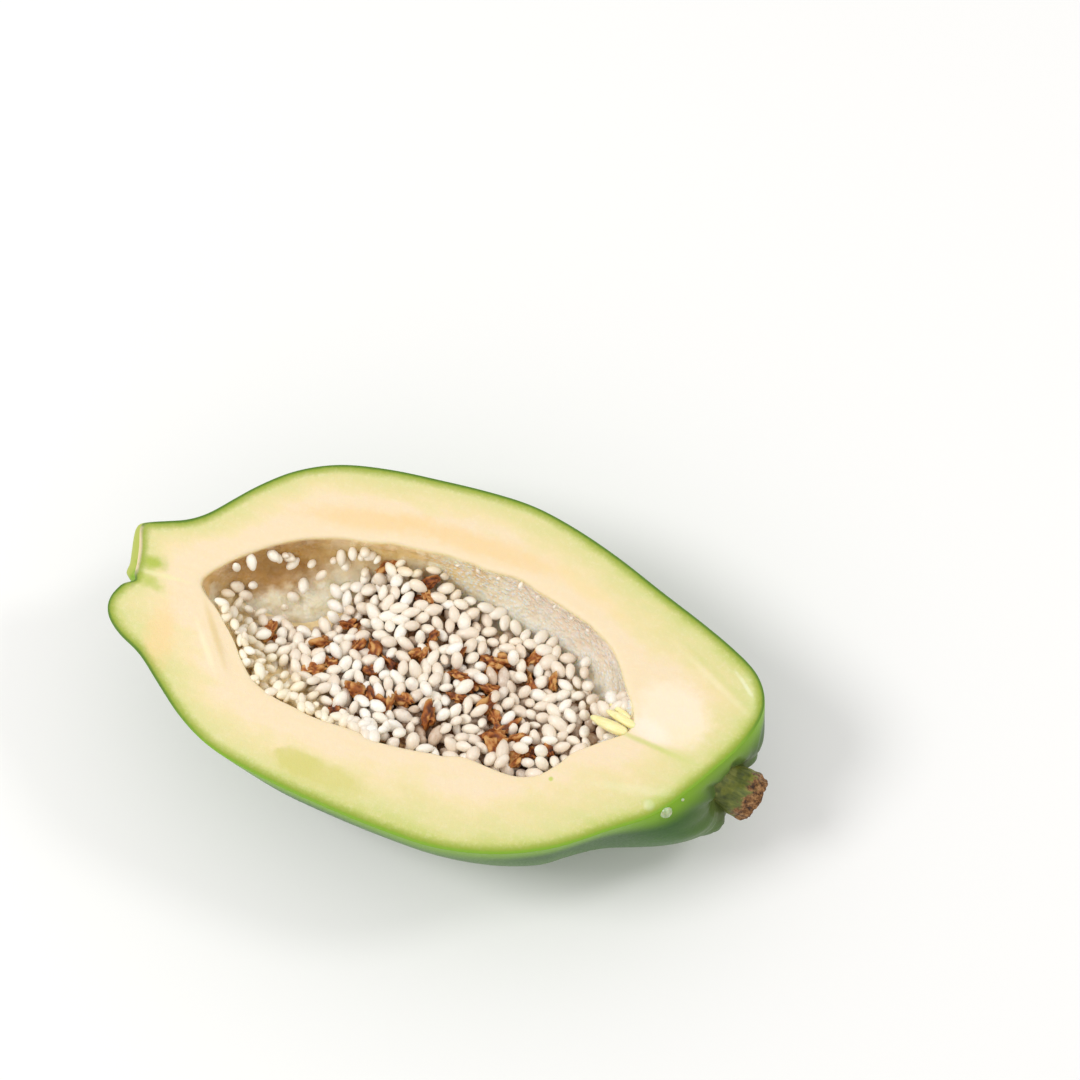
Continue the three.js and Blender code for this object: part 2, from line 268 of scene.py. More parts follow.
def skin_points(angle, turn):
    stemward = np.cos(angle).clip(0) ** 3
    fullness = SIDE_FULLNESS + (STEM_END_FULLNESS - SIDE_FULLNESS) * stemward
    inward, down = bowl_wall(turn, fullness)
    depth = FRUIT_DEPTH * down
    soften = smooth_step(turn, 0, SOFTENED_BY)
    reach = (1 - soften) * cut_edge.reach(angle) + soften * cut_edge.soft_reach(angle, OUTLINE_BLUR)
    swell = sum(nearness(angle, f) for f in SWELLS) * np.sin(np.pi * np.minimum(1, depth / SWELL_DEPTH))
    scar = nearness(angle, SCAR) * np.minimum(1, depth / SCAR_DROP) * (1 - soften) ** 3
    plan = reach * inward + swell + scar
    points = ring_points(plan, angle, -depth)
    around = np.arctan2(-points[:, 2], points[:, 1])
    height = RIB_HEIGHT + SHOULDER_RIB_HEIGHT * stemward
    rib = 1 + height * np.sin(around) * (np.cos(RIB_COUNT * (around - np.pi / 2)) - 1)
    points[:, 1] *= rib
    points[:, 2] *= rib * (1 - KEEL_CURVE * ((points[:, 0] - KEEL_MIDDLE) / KEEL_REACH) ** 2)
    points = press_dimple(points)
    points[:, 2] = np.maximum(points[:, 2], -FLAT_SPOT)
    return points


def rim_waver(angle):
    """The small waves of the hollow's rim, in mm: soft tissue never tears along a clean line."""
    waves = [(7, 0.30, 0.4), (11, 0.26, 2.1), (17, 0.2, 1.3), (26, 0.14, 5.2), (41, 0.1, 3.7)]
    return sum(size * np.sin(count * angle + start) for count, size, start in waves)


def cavity_points(angle, turn):
    inward, down = bowl_wall(turn, CAVITY_FULLNESS)
    plan = (cavity_rim.reach(angle) + rim_waver(angle) * (1 - smooth_step(turn, 0, 0.3))) * inward
    return ring_points(plan, angle, -CAVITY_DEPTH * down)


def cavity_floor(x, y):
    """The height of the hollow's wall below a point of the plan, in mm from the cut face."""
    share = np.minimum(1, np.hypot(x, y) / cavity_rim.reach(np.arctan2(y, x)))
    return -CAVITY_DEPTH * (1 - share**CAVITY_FULLNESS) ** (1 / CAVITY_FULLNESS)


# %% [markdown]
# ## Tools for shaping
# A ball is the best start for a closed organic form: its rows become rings that can be laid along
# any profile, and it needs no patching. The helper adds one and hands its points, as column and
# row numbers, to a rule that places them. Subdivision then makes the coarse cage smooth.

# %% Shaping helpers
FACE_GAP = 0.15  # how far below the cut face the seeds' tops stay, in mm


def read_points(piece):
    flat = np.empty(len(piece.data.vertices) * 3)
    piece.data.vertices.foreach_get("co", flat)
    return flat.reshape(-1, 3)


def write_points(piece, points):
    piece.data.vertices.foreach_set("co", np.asarray(points, float).ravel())
    piece.data.update()


def into_place(points):
    """From the fruit's own millimetres to the CAD frame's metres."""
    return (np.asarray(points) + FRUIT_PLACE) * MM


def fruit_points(piece):
    return read_points(piece) / MM - FRUIT_PLACE


def named(name):
    piece = bpy.context.object
    piece.name = piece.data.name = name
    return piece


def shaped_ball(name, columns, rows, rule):
    """A ball whose points are placed by their column and row. Row 0 is the top pole."""
    deselect_all()
    bpy.ops.mesh.primitive_uv_sphere_add(segments=columns, ring_count=rows, radius=1)
    piece = named(name)
    ball = read_points(piece)
    column = np.round(np.arctan2(ball[:, 1], ball[:, 0]) / (2 * np.pi) * columns).astype(int) % columns
    row = np.round(np.arccos(ball[:, 2].clip(-1, 1)) / np.pi * rows).astype(int)
    write_points(piece, rule(column, row))
    return piece, row


def select_only(piece):
    deselect_all()
    piece.select_set(True)
    bpy.context.view_layer.objects.active = piece


def apply_modifier(piece, kind, **settings):
    select_only(piece)
    modifier = piece.modifiers.new(kind.title(), kind)
    for key, value in settings.items():
        setattr(modifier, key, value)
    bpy.ops.object.modifier_apply(modifier=modifier.name)


def subdivide_smooth(piece, levels):
    apply_modifier(piece, "SUBSURF", levels=levels, render_levels=levels)


def push_by(piece, texture, strength, group, mid_level=0.5):
    """Pushes a piece's points in and out by a cloud pattern, as far as a weight group says."""
    apply_modifier(piece, "DISPLACE", texture=texture, strength=strength * MM, mid_level=mid_level,
                   texture_coords="LOCAL", vertex_group=group)


def cloud(name, size, depth=2):
    pattern = bpy.data.textures.new(name, "CLOUDS")
    pattern.noise_scale = size * MM
    pattern.noise_depth = depth
    return pattern


def keep_weights(piece, name, weights):
    group = piece.vertex_groups.new(name=name)
    for index in np.nonzero(weights > 0.01)[0]:
        group.add([int(index)], float(weights[index]), "REPLACE")


def keep_values(piece, name, values):
    """Stores one number a point, which a material can read by its name."""
    store = piece.data.attributes.new(name, "FLOAT", "POINT")
    store.data.foreach_set("value", np.asarray(values, np.float32))


def select_points(piece, wanted):
    """Goes into edit mode with only the wanted points selected."""
    bpy.ops.object.mode_set(mode="EDIT")
    bpy.ops.mesh.select_mode(type="VERT")
    bpy.ops.mesh.select_all(action="DESELECT")
    bpy.ops.object.mode_set(mode="OBJECT")
    piece.data.vertices.foreach_set("select", np.asarray(wanted, bool))
    bpy.ops.object.mode_set(mode="EDIT")


def keep_below_face(piece):
    """Lowers a small piece until no point of it stands above the cut face."""
    above = read_points(piece)[:, 2].max() - into_place((0, 0, -FACE_GAP))[2]
    piece.data.transform(Matrix.Translation((0, 0, -max(0, above))))


def face_outward(piece):
    select_only(piece)
    bpy.ops.object.mode_set(mode="EDIT")
    bpy.ops.mesh.select_all(action="SELECT")
    bpy.ops.mesh.normals_make_consistent(inside=False)
    bpy.ops.object.mode_set(mode="OBJECT")


def smooth_and_report(piece):
    select_only(piece)
    bpy.ops.object.shade_smooth()
    piece.data.calc_loop_triangles()
    top = fruit_points(piece)[:, 2].max()
    print(f"{piece.name} has {len(piece.data.loop_triangles)} triangles; its top is at {top:.2f} mm")


# %% [markdown]
# ## The fruit
# The flesh and skin are one closed form: up the wall of the hollow, over its soft lip, across the
# cut face, round the knife's edge and down the skin to the flat spot it rests on. A single ball
# follows that path ring by ring. Two rings close together keep the knife's edge crisp, and the
# rings further apart let the lip of the hollow turn over softly.

# %% Lay the rings of the fruit
FRUIT_COLUMNS = 140
END_CROWDING = 0.35  # how much closer the columns stand at the two ends than on average
LIP_DROP, LIP_ROUNDING = 0.5, 0.08  # how far the two rings of the hollow's lip lie below the face
WALL_TURNS = [(1 - i / 14) ** 1.25 for i in range(15)]
FACE_STEPS = [(0, 1.3), (0.2, 0), (0.4, 0), (0.6, 0), (0.8, 0), (1, -1.5), (1, -0.4)]
SKIN_TURNS = [0, 0.0065] + [(i / 17) ** 1.4 for i in range(1, 18)]
face_start = len(WALL_TURNS)
skin_start = face_start + len(FACE_STEPS)
fruit_rows = skin_start + len(SKIN_TURNS) - 1


def fruit_rule(column, row):
    share = column / FRUIT_COLUMNS
    angle = cut_edge.angle_at(share - END_CROWDING * np.sin(4 * np.pi * share) / (4 * np.pi))
    points = np.zeros((len(row), 3))
    on_wall, on_skin = row < face_start, row >= skin_start
    turn = np.array(WALL_TURNS)[np.minimum(row, face_start - 1)]
    points[on_wall] = cavity_points(angle, turn)[on_wall]
    turn = np.array(SKIN_TURNS)[np.clip(row - skin_start, 0, None)]
    points[on_skin] = skin_points(angle, turn)[on_skin]
    share, shift = np.array(FACE_STEPS)[np.clip(row - face_start, 0, len(FACE_STEPS) - 1)].T
    rim = cavity_rim.reach(angle) + rim_waver(angle) * (1 - share)
    plan = rim + (cut_edge.reach(angle) - rim) * share + shift
    on_face = ~on_wall & ~on_skin
    points[on_face] = ring_points(plan, angle, 0)[on_face]
    points[row == face_start - 1, 2] -= LIP_DROP
    points[row == face_start, 2] -= LIP_ROUNDING
    return into_place(points)


fruit, fruit_row = shaped_ball("papaya_half", FRUIT_COLUMNS, fruit_rows, fruit_rule)
SKIN_SLOT, FLESH_SLOT, LINING_SLOT = 0, 1, 2
for face in fruit.data.polygons:
    deepest = max(fruit_row[v] for v in face.vertices)
    face.material_index = (
        LINING_SLOT if deepest < face_start else FLESH_SLOT if deepest <= skin_start else SKIN_SLOT
    )
subdivide_smooth(fruit, 2)
smooth_and_report(fruit)

# %% [markdown]
# ## Where each point of the fruit lies
# The colour of the cut face depends on how far in from the skin it is: green, yellow-green, then
# cream. The lining of the hollow changes with depth, and the skin near the stem. So each point
# keeps its distance to the cut edge and to the stem and its depth, and the materials read them.
# The green band is wider on the near side and at the stem end, where the knife ran through the
# wall at a slant.

# %% Measure and keep the distances
BAND_WIDTHS = [  # direction in degrees, width of the green to cream change in mm
    (-180, 9), (-174, 12), (-166, 17), (-156, 14), (-135, 13), (-115, 16), (-90, 19), (-60, 19),
    (-40, 20), (-22, 20), (-8, 18), (4, 17), (14, 18), (24, 17), (38, 15), (60, 14), (90, 12),
    (120, 11), (140, 9), (160, 11), (172, 9),
]
STEM_PART, FAR_FROM_STEM = 50, 30  # short of this x the skin counts as this much farther off


def distance_to(line, points):
    """The plan distance from each point to a closed line."""
    dense = np.concatenate([line + (np.roll(line, -1, 0) - line) * k / 4 for k in range(4)])
    tree = kdtree.KDTree(len(dense))
    for index, (x, y) in enumerate(dense):
        tree.insert((x, y, 0), index)
    tree.balance()
    return np.array([tree.find((x, y, 0))[2] for x, y in points[:, :2]])


place = fruit_points(fruit)
direction = np.arctan2(place[:, 1], place[:, 0])
from_skin = distance_to(cut_edge.line, place)
from_rim = distance_to(cavity_rim.line, place)
band = np.interp(np.degrees(direction), *np.array(BAND_WIDTHS, float).T, period=360)
in_hollow = (np.hypot(place[:, 0], place[:, 1]) < cavity_rim.reach(direction) + 1) & (place[:, 2] > -31)
keep_values(fruit, "into_flesh", from_skin / band)
keep_values(fruit, "from_skin", from_skin)
keep_values(fruit, "below_face", -place[:, 2])
off_stem = np.linalg.norm(round_stem(place)[1], axis=1)
keep_values(fruit, "from_stem", off_stem + FAR_FROM_STEM * (place[:, 0] < STEM_PART))
print("points in the hollow:", int(in_hollow.sum()))

# %% [markdown]
# ## Small relief
# Some details are too fine for the rings: the nick beside the blossom scar, the scar's sharp
# corner and its hollow foot, a step in the flesh where the knife dragged, shallow folds that fan
# out from the stem, the deep middle of the dimple, and the full shoulder beside it. They are
# pressed into the dense surface, or pulled out of it, as soft bells.

# %% Press in the small relief
NICK_DEPTH, STEP_DEPTH, DIMPLE_MIDDLE, CORNER_PULL, SHOULDER_PUSH = 1.9, 0.8, 3.5, 1.5, 4.5  # in mm
FOLD_REACH = 25  # how far from the stem's foot, toward the middle, the folds run
SHOULDER_PLACE, SHOULDER_WAY = (85, -8, -28), np.array([0.9, -0.44, 0])
x, y, z = place.T
nick = NICK_DEPTH * bell(y + 7.2, 1.3) * bell(x + 90, 5) * np.exp(np.minimum(0, z + 0.5) / 9)
along_step = (x + 57) * 0.62 - (y + 17.5) * 0.79
across_step = (x + 57) * 0.79 + (y + 17.5) * 0.62
step = smooth_step(across_step, -0.6, 1.4) * bell(across_step - 2.4, 3.2) * bell(along_step, 8)
step *= STEP_DEPTH
on_face = (z > -0.4) & (from_rim > 0.6)
along_axis, radial = round_stem(place)
away = np.linalg.norm(radial, axis=1)
fan = np.arctan2(radial[:, 2], radial[:, 1])
folds = 0.55 * np.cos(9 * fan + 0.7 * np.sin(3 * fan)) + 0.3 * np.cos(17 * fan + 1)
folds *= bell(away - 13, 7) * smooth_step(-z, 1.5, 6)
middle = bell(away, 10.5) * smooth_step(-z, 0.8, 4.5) * smooth_step(z, -25, -15)
folds = (folds + DIMPLE_MIDDLE * middle) * (along_axis > -FOLD_REACH)
shoulder = SHOULDER_PUSH * bell(np.linalg.norm(place - SHOULDER_PLACE, axis=1), 10)
corner = CORNER_PULL * bell(np.hypot(x + 90.5, y - 7.6), 2.7) * bell(z, 9)
scar_foot = (0.4 * bell(y - 1, 5.5) + 1.5 * bell(y + 5.4, 2.3)) * bell(x + 89, 5)
scar_foot *= smooth_step(-z, 0.3, 3) * bell(z, 13)
place[:, 0] += nick - 0.75 * corner - scar_foot
place[:, 1] += 0.66 * corner
place += shoulder[:, None] * SHOULDER_WAY
place[:, 2] -= step * on_face
place -= folds[:, None] * stem_axis
write_points(fruit, into_place(place))
print("deepest nick", round(float(nick.max()), 2), "mm; deepest step", round(float(step.max()), 2), "mm")

# %% [markdown]
# ## The wall of the hollow
# Where the seeds have come away the wall is bare. It waves gently all over, and toward the
# blossom end it has lumps of clear jelly. Both are real relief, so two cloud patterns push the
# wall in and out, only below the rim. The tiny grains on it are left to the finish.

# %% Roughen the wall of the hollow
below_rim = smooth_step(-place[:, 2], 0.8, 4) * in_hollow
keep_weights(fruit, "wall", below_rim)
jelly = bell(place[:, 0] + 45, 14) * bell(place[:, 1] - 9, 10) * below_rim
keep_weights(fruit, "jelly", jelly)
push_by(fruit, cloud("wall_waves", 5.0), 0.8, "wall")
push_by(fruit, cloud("jelly_lumps", 4.5, 1), 3.2, "jelly")
print("points with jelly:", int((jelly > 0.3).sum()))

# %% [markdown]
# ## The stem
# The stem is a stub about two centimetres long. It flares where it grows from the dimple, has
# lengthwise ridges, and ends in a brown corky scar where it was snapped off. By hand this is a
# circle, extruded and resized ring by ring, and closed with an inset. The finished tube is then
# turned along the stem's direction.

# %% Extrude the stem
STEM_SIDES = 42
STEM_RINGS = 12
STEM_FLARE, STEM_NECK, STEM_END = 9.0, 5.4, 6.7  # radii in mm
STEM_ROOT = 0.3  # how far the stem reaches on into the flesh, as a share of its length


def stem_radius(station):
    flare = (STEM_FLARE - STEM_NECK) * np.exp(-max(station, 0) * 3.2)
    knob = (STEM_END - STEM_NECK) * smooth_step(station, 0.45, 0.85)
    return STEM_NECK + flare + knob - 0.7 * smooth_step(station, 0.9, 1)


deselect_all()
ring_step = (1 + STEM_ROOT) / STEM_RINGS
bpy.ops.mesh.primitive_circle_add(
    vertices=STEM_SIDES, radius=stem_radius(-STEM_ROOT), fill_type="NOTHING",
    location=(0, 0, -STEM_ROOT * stem_length))
stem = named("papaya_stem")
bpy.ops.object.mode_set(mode="EDIT")
bpy.ops.mesh.select_all(action="SELECT")
for ring in range(1, STEM_RINGS + 1):
    station = ring * ring_step - STEM_ROOT
    before = station - ring_step
    bpy.ops.mesh.extrude_region_move(
        TRANSFORM_OT_translate={"value": (0, 0, stem_length * ring_step)})
    size = float(stem_radius(station) / stem_radius(before))
    bpy.ops.transform.resize(value=(size, size, 1))
bpy.ops.mesh.edge_face_add()
for size, sink in ((0.8, 0.1), (0.7, -0.7), (0.6, -0.5), (0.4, -0.2)):
    bpy.ops.mesh.extrude_region_move(TRANSFORM_OT_translate={"value": (0, 0, sink)})
    bpy.ops.transform.resize(value=(size, size, 1))
bpy.ops.mesh.poke()
bpy.ops.object.mode_set(mode="OBJECT")

# %% Ridge the stem, bend it and turn it into place
bpy.ops.object.transform_apply(location=True)
upright = read_points(stem)
turn = np.arctan2(upright[:, 1], upright[:, 0])
station = upright[:, 2] / stem_length
ridges = 1 + 0.055 * np.cos(7 * turn) + 0.03 * np.sin(2 * turn + 1) + 0.015 * np.cos(13 * turn + 1)
across = np.cross([0, 0, 1], stem_axis)
across /= np.linalg.norm(across)
upward = np.cross(stem_axis, across)
bend = 1.4 * np.sin(np.pi * station.clip(0, 1))
placed = (
    STEM_BASE
    + upright[:, 2:3] * stem_axis
    + (upright[:, 0] * ridges)[:, None] * across
    - (upright[:, 1] * ridges + bend)[:, None] * upward
)
write_points(stem, into_place(placed))
face_outward(stem)
subdivide_smooth(stem, 2)
along_stem = (fruit_points(stem) - STEM_BASE) @ stem_axis / stem_length
corkiness = smooth_step(along_stem, 0.72, 0.9)
keep_values(stem, "along_stem", along_stem)
keep_weights(stem, "cork", corkiness)
keep_weights(stem, "bark", 1 - corkiness)
push_by(stem, cloud("cork_pits", 2.4), 2.2, "cork", mid_level=0.62)
push_by(stem, cloud("bark_grain", 1.8), 0.35, "bark")
smooth_and_report(stem)

# %% [markdown]
# ## The heap
# The seeds lie in a loose heap. Its top is the CAD model's: a few measured heights blended into a
# rolling surface. Below the visible seeds is a bed of wet seed tissue, coloured dark as painted
# shade, which is what shows in the gaps; it sinks deepest in a few pits, painted darkest. The bed
# is again a ball, its upper half laid under the heap's top and its lower half in the hollow.

# %% Make the bed under the seeds
HEAP_POINTS = np.array([
    [-66, -1, -7], [-58, 4, -14], [-50, 3, -22], [-40, 10, -23], [-30, 19, -20], [-21, 26, -8],
    [-10, 27, -10], [-2, 25, -17], [12, 24, -18], [25, 22, -17], [37, 16, -18], [45, 10, -16],
    [54, 4, -8], [-55, -10, -6], [-45, -20, -5], [-30, -24, -5], [-10, -26, -5], [10, -25, -6],
    [30, -22, -7], [44, -12, -8], [52, -5, -6], [-40, -8, -11], [-20, 0, -11], [-15, 14, -10],
    [0, 5, -12], [0, -12, -9], [20, 8, -15], [20, -8, -11], [38, 2, -13], [-30, 8, -16],
])
HEAP_SOFTNESS = 7.5
BED_DEPTH, PIT_DEPTH, BURIED_DEPTH = 4.2, 3, 3.5
BED_COLUMNS, BED_ROWS = 112, 28
LEFT_RISE, LEFT_WIDTH = 3.5, 7
PITS = np.array([(5.6, -19.4), (24.1, -14.3), (32, -22.1), (17.9, 2.7), (-3, -13)])


def near_pit(x, y, width):
    apart = np.hypot(np.subtract.outer(x, PITS[:, 0]), np.subtract.outer(y, PITS[:, 1]))
    return bell(apart.min(-1), width)


def heap_top(x, y):
    apart = np.subtract.outer(x, HEAP_POINTS[:, 0]) ** 2 + np.subtract.outer(y, HEAP_POINTS[:, 1]) ** 2
    weights = np.exp(-apart / (2 * HEAP_SOFTNESS**2)) + 1e-9
    return (weights * HEAP_POINTS[:, 2]).sum(-1) / weights.sum(-1)


def near_left(x, y):
    """How much higher the seeds lie along the near-left rim, in mm, where the wall holds them up."""
    off_rim = cavity_rim.reach(np.arctan2(y, x)) - np.hypot(x, y)
    return LEFT_RISE * bell(off_rim, LEFT_WIDTH) * smooth_step(-y - 0.55 * x, 12, 30) * (x < 8)


def bed_rule(column, row):
    half = BED_ROWS / 2
    share = np.where(row <= half, row, BED_ROWS - row) / half * 0.985
    angle = column / BED_COLUMNS * 2 * np.pi
    plan = share * cavity_rim.reach(angle)
    x, y = plan * np.cos(angle), plan * np.sin(angle)
    wall = cavity_floor(x, y)
    top = heap_top(x, y) - BED_DEPTH - PIT_DEPTH * near_pit(x, y, 3.5) + 1.5 * near_left(x, y)
    under = wall - BURIED_DEPTH
    z = np.where(row <= half, np.where(top > wall, top, under), under - 1)
    return into_place(np.stack([x, y, z], 1))


seed_bed, _ = shaped_ball("seed_bed", BED_COLUMNS, BED_ROWS, bed_rule)
subdivide_smooth(seed_bed, 1)
x, y, z = fruit_points(seed_bed).T
# the pit mask carries the painted shade, darkest in the pits
keep_values(seed_bed, "pit", near_pit(x, y, 4.2))
keep_values(seed_bed, "over_wall", z - cavity_floor(x, y))
smooth_and_report(seed_bed)

# %% [markdown]
# ## One seed, copied
# A half-grown papaya seed is a smooth white egg about 5 mm long, slightly pointed where it hung
# on the wall. There are hundreds, so one is modelled with only 80 faces and copied. Each copy is
# given its own mesh, size, turn and tint before all of them are joined.

# %% Model one seed
SEED_RADII = (2.6, 1.64, 1.54)


def model_seed():
    deselect_all()
    bpy.ops.mesh.primitive_ico_sphere_add(subdivisions=2, radius=1)
    seed = named("one_seed")
    select_points(seed, read_points(seed)[:, 0] > 0.45)
    bpy.ops.transform.resize(value=(1, 0.84, 0.84))
    bpy.ops.transform.translate(value=(0.07, 0, 0))
    bpy.ops.mesh.select_all(action="SELECT")
    bpy.ops.transform.resize(value=SEED_RADII)
    bpy.ops.object.mode_set(mode="OBJECT")
    bpy.ops.object.shade_smooth()
    return seed


one_seed = model_seed()
print("one seed:", len(one_seed.data.polygons), "faces,", one_seed.dimensions[:], "mm")

# %% [markdown]
# ## Piling the seeds
# A physics run would pile them well but slowly. Instead three loose layers of points follow the
# heap's top, and every pair that is too close pushes apart a little, again and again, while the
# wall holds them in. The brown shrivelled seeds stay where the photo has them and push too.

# %% Settle the heap
BROWN_PLACES = np.array([
    (-33, -2), (-28, -8), (-31, -12), (-17, -7), (-18, 0), (-24, 25), (-11, 24), (-10, 20),
    (-7, 2), (-11, -3), (-18, -15), (-14, -15), (-4, -12), (-8, -16), (4, -15), (-21, -23),
    (-28, 6), (-23, -1), (-48, -4), (-4, 9), (5, 7), (13, 9), (17, 10), (16, 7), (25, 14),
    (6, 1), (11, -1), (9, -6), (16, 0), (17, -5), (26, 6), (32, 9), (23, -11), (25, -14),
    (24, -16.5), (21.5, -14), (29, -12), (39, -13), (31, -18), (21, -8), (34, -15),
], float)
SEED_ROOM = 3.5  # middle to middle, for two seeds that touch
PUSH_SHARE = 0.28  # how much of an overlap each round takes away
OFF_WALL, OFF_RIM = 1.2, 1.7  # how far a seed's middle keeps from the wall and the rim
BARE_PATCH = (-47, 9, 13, 8)  # where the wall shows: its middle and its two half widths
draw = np.random.default_rng(20817)


def layer(spacing, below, jitter):
    """Points on a loose triangular grid over the heap, in the hollow, so far below its top."""
    rows, columns = np.mgrid[-18:19, -40:41]
    x = (columns + (rows % 2) / 2).ravel() * spacing + draw.uniform(-jitter, jitter, rows.size)
    y = rows.ravel() * spacing * 0.866 + draw.uniform(-jitter, jitter, rows.size)
    clumps = np.array([noise.noise((px / 9, py / 9, 3.7)) for px, py in zip(x, y)])
    z = heap_top(x, y) - below + draw.uniform(-1, 1, rows.size) + 2.2 * clumps + near_left(x, y)
    inside = np.hypot(x, y) < cavity_rim.reach(np.arctan2(y, x)) - 1.6
    bare_x, bare_y, half_long, half_wide = BARE_PATCH
    bare = ((x - bare_x) / half_long) ** 2 + ((y - bare_y) / half_wide) ** 2 < 1
    pit = near_pit(x, y, 2.6) > 0.5
    keep = inside & ~bare & ~pit & (z > cavity_floor(x, y) + 1.3)
    return np.stack([x, y, z], 1)[keep]


def settle(points, fixed, rounds=60):
    """Pushes points that are too close apart, and keeps them on the wall and below the rim."""
    count = len(points)
    for _ in range(rounds):
        everything = np.vstack([points, fixed])
        gap = points[:, None] - everything[None]
        apart = np.linalg.norm(gap, axis=2)
        apart[np.arange(count), np.arange(count)] = 99
        push = np.clip(SEED_ROOM - apart, 0, None) / apart
        points = points + PUSH_SHARE * (gap * push[..., None]).sum(1)
        angle = np.arctan2(points[:, 1], points[:, 0])
        far = np.hypot(points[:, 0], points[:, 1])
        hold = np.minimum(1, (cavity_rim.reach(angle) - OFF_RIM) / far)
        points[:, :2] *= hold[:, None]
        wall = cavity_floor(points[:, 0], points[:, 1])
        points[:, 2] = np.clip(points[:, 2], wall + OFF_WALL, -OFF_RIM)
    return points


brown_top = heap_top(BROWN_PLACES[:, 0], BROWN_PLACES[:, 1])
brown_points = np.column_stack([BROWN_PLACES, brown_top + 0.2])
loose_points = np.vstack([layer(4.0, 0, 1.1), layer(4.2, 3.0, 1), layer(4.7, 5.8, 1)])
seed_points = settle(loose_points, brown_points)
print("seeds in the heap:", len(seed_points))

# %% Copy and join the seeds
LIP_SEEDS = 34  # the row of small seeds along the near-left rim


def turned_copy(original, place, turns, sizes):
    """A copy with its own mesh, sized, turned and placed in it. Place in the fruit's mm."""
    copy = original.copy()
    copy.data = original.data.copy()
    turn = Matrix.LocRotScale(None, turns, None) @ Matrix.Diagonal((*sizes, 1))
    copy.data.transform(Matrix.Translation(into_place(place)) @ Matrix.Scale(MM, 4) @ turn)
    bpy.context.collection.objects.link(copy)
    return copy


def join(name, copies):
    deselect_all()
    for copy in copies:
        copy.select_set(True)
    bpy.context.view_layer.objects.active = copies[0]
    bpy.ops.object.join()
    return named(name)


def random_turn(lean):
    return Euler((draw.uniform(0, 6.28), draw.normal(0, lean), draw.uniform(0, 6.28)), "XYZ")


def scatter_seeds(name, points, sizes, yellows, gap_shades, lean=0.5):
    copies = []
    for place, size, yellow, gap_shade in zip(points, sizes, yellows, gap_shades):
        stretch = draw.normal(1, 0.07, 3)
        copy = turned_copy(one_seed, place, random_turn(lean), size * stretch)
        keep_below_face(copy)
        for mark, value in (("tint", draw.uniform(0, 1)), ("yellow", yellow), ("gap_shade", gap_shade)):
            keep_values(copy, mark, np.full(len(copy.data.vertices), value))
        copies.append(copy)
    return join(name, copies)


def unripe(points):
    """1 near the near-left rim and on the far mound, where the seeds are smaller and yellower."""
    x, y, _ = points.T
    near_rim = smooth_step(-y - 0.55 * x - 33, -2, 5) * (x < 0)
    mound = bell(x + 14, 12) * bell(y - 26, 4)
    corner = bell(x + 60, 9) * bell(y + 2, 7)
    return np.clip(near_rim + mound + corner, 0, 1)


lip_angle = np.radians(np.linspace(-176, -104, LIP_SEEDS)) + draw.uniform(-0.02, 0.02, LIP_SEEDS)
lip_reach = cavity_rim.reach(lip_angle) - draw.uniform(0.6, 4.2, LIP_SEEDS)
lip_height = -draw.uniform(0.9, 2.6, LIP_SEEDS)
seed_points = np.vstack([seed_points, ring_points(lip_reach, lip_angle, lip_height)])
heap_unripe = unripe(seed_points)
heap_sizes = draw.normal(1, 0.11, len(seed_points)).clip(0.76, 1.25) * (1 - 0.22 * heap_unripe)
x, y, z = seed_points.T
# painted shade in the heap's gaps: seeds lying below the heap's top, and those by the pits, get a brown tint
buried = smooth_step(heap_top(x, y) + near_left(x, y) - z, 1.2, 4.5)
heap_gap_shades = np.maximum(buried, 0.9 * near_pit(x, y, 3.4)) * (1 - heap_unripe)
heap_yellows = heap_unripe * draw.uniform(0.3, 1, len(seed_points))
white_seeds = scatter_seeds("white_seeds", seed_points, heap_sizes, heap_yellows, heap_gap_shades)
smooth_and_report(white_seeds)

# %% [markdown]
# ## Stray seeds on the wall
# Seeds still hang on the bare wall at the blossom end, tiny pale specks dot the far rim, and a
# few fat seeds fill the corner at the stem end. They are all the same seed, sunk a little into
# the wall where they grow.

# %% Set the stray seeds
STRAY_PLACES = np.array([
    (-59.1, 10.6, -3.4), (-62.5, 7.3, -2.7), (-52.7, 15.4, -6.7), (-49.1, 16.5, -10.3),
    (-44.3, 18.9, -11.8), (-40.9, 16.9, -13.7), (-35.4, 22.4, -12.5), (-31.2, 24.7, -8.9),
    (-33.6, 18, -19.9), (-45.3, 13.5, -17.8), (-47.2, 9.6, -19.7), (-48.6, 6.1, -20.9),
    (-58.1, 7, -13.2), (-38.5, 21.5, -10.5), (-26.5, 25.3, -8.5), (-29.5, 22.4, -14.5),
    (-54.2, 15.2, -5.2), (-51.2, 16.8, -6.2), (-50.6, 17.2, -8), (-33.5, 24.2, -7.2),
    (-30.2, 25.6, -6), (-28.6, 25.4, -7.6), (-36.6, 22.8, -9.6),
])
SPECK_PLACES = np.array([
    (2.5, 29.3, -3.2), (8.8, 29, -2.6), (15.4, 28.7, -1.6), (21.1, 27.6, -2.7), (26.4, 26.4, -2.7),
    (32, 24.8, -2.9), (-3.5, 29, -3.5), (37.5, 22.9, -3.1),
])
LUMP_PLACES = np.array([
    (49.5, 3.4, -6.5), (52.6, 4.6, -5), (54.6, 6.4, -4.5), (50.5, 7.4, -8), (53, 8.6, -6),
])
HOLLOW_RADII = np.array([62, 28, 30])


def proud_of_wall(places, height):
    """Moves points off the wall toward the inside of the hollow, as for an oval bowl."""
    inward = -places / HOLLOW_RADII**2
    return places + height * inward / np.linalg.norm(inward, axis=1)[:, None]


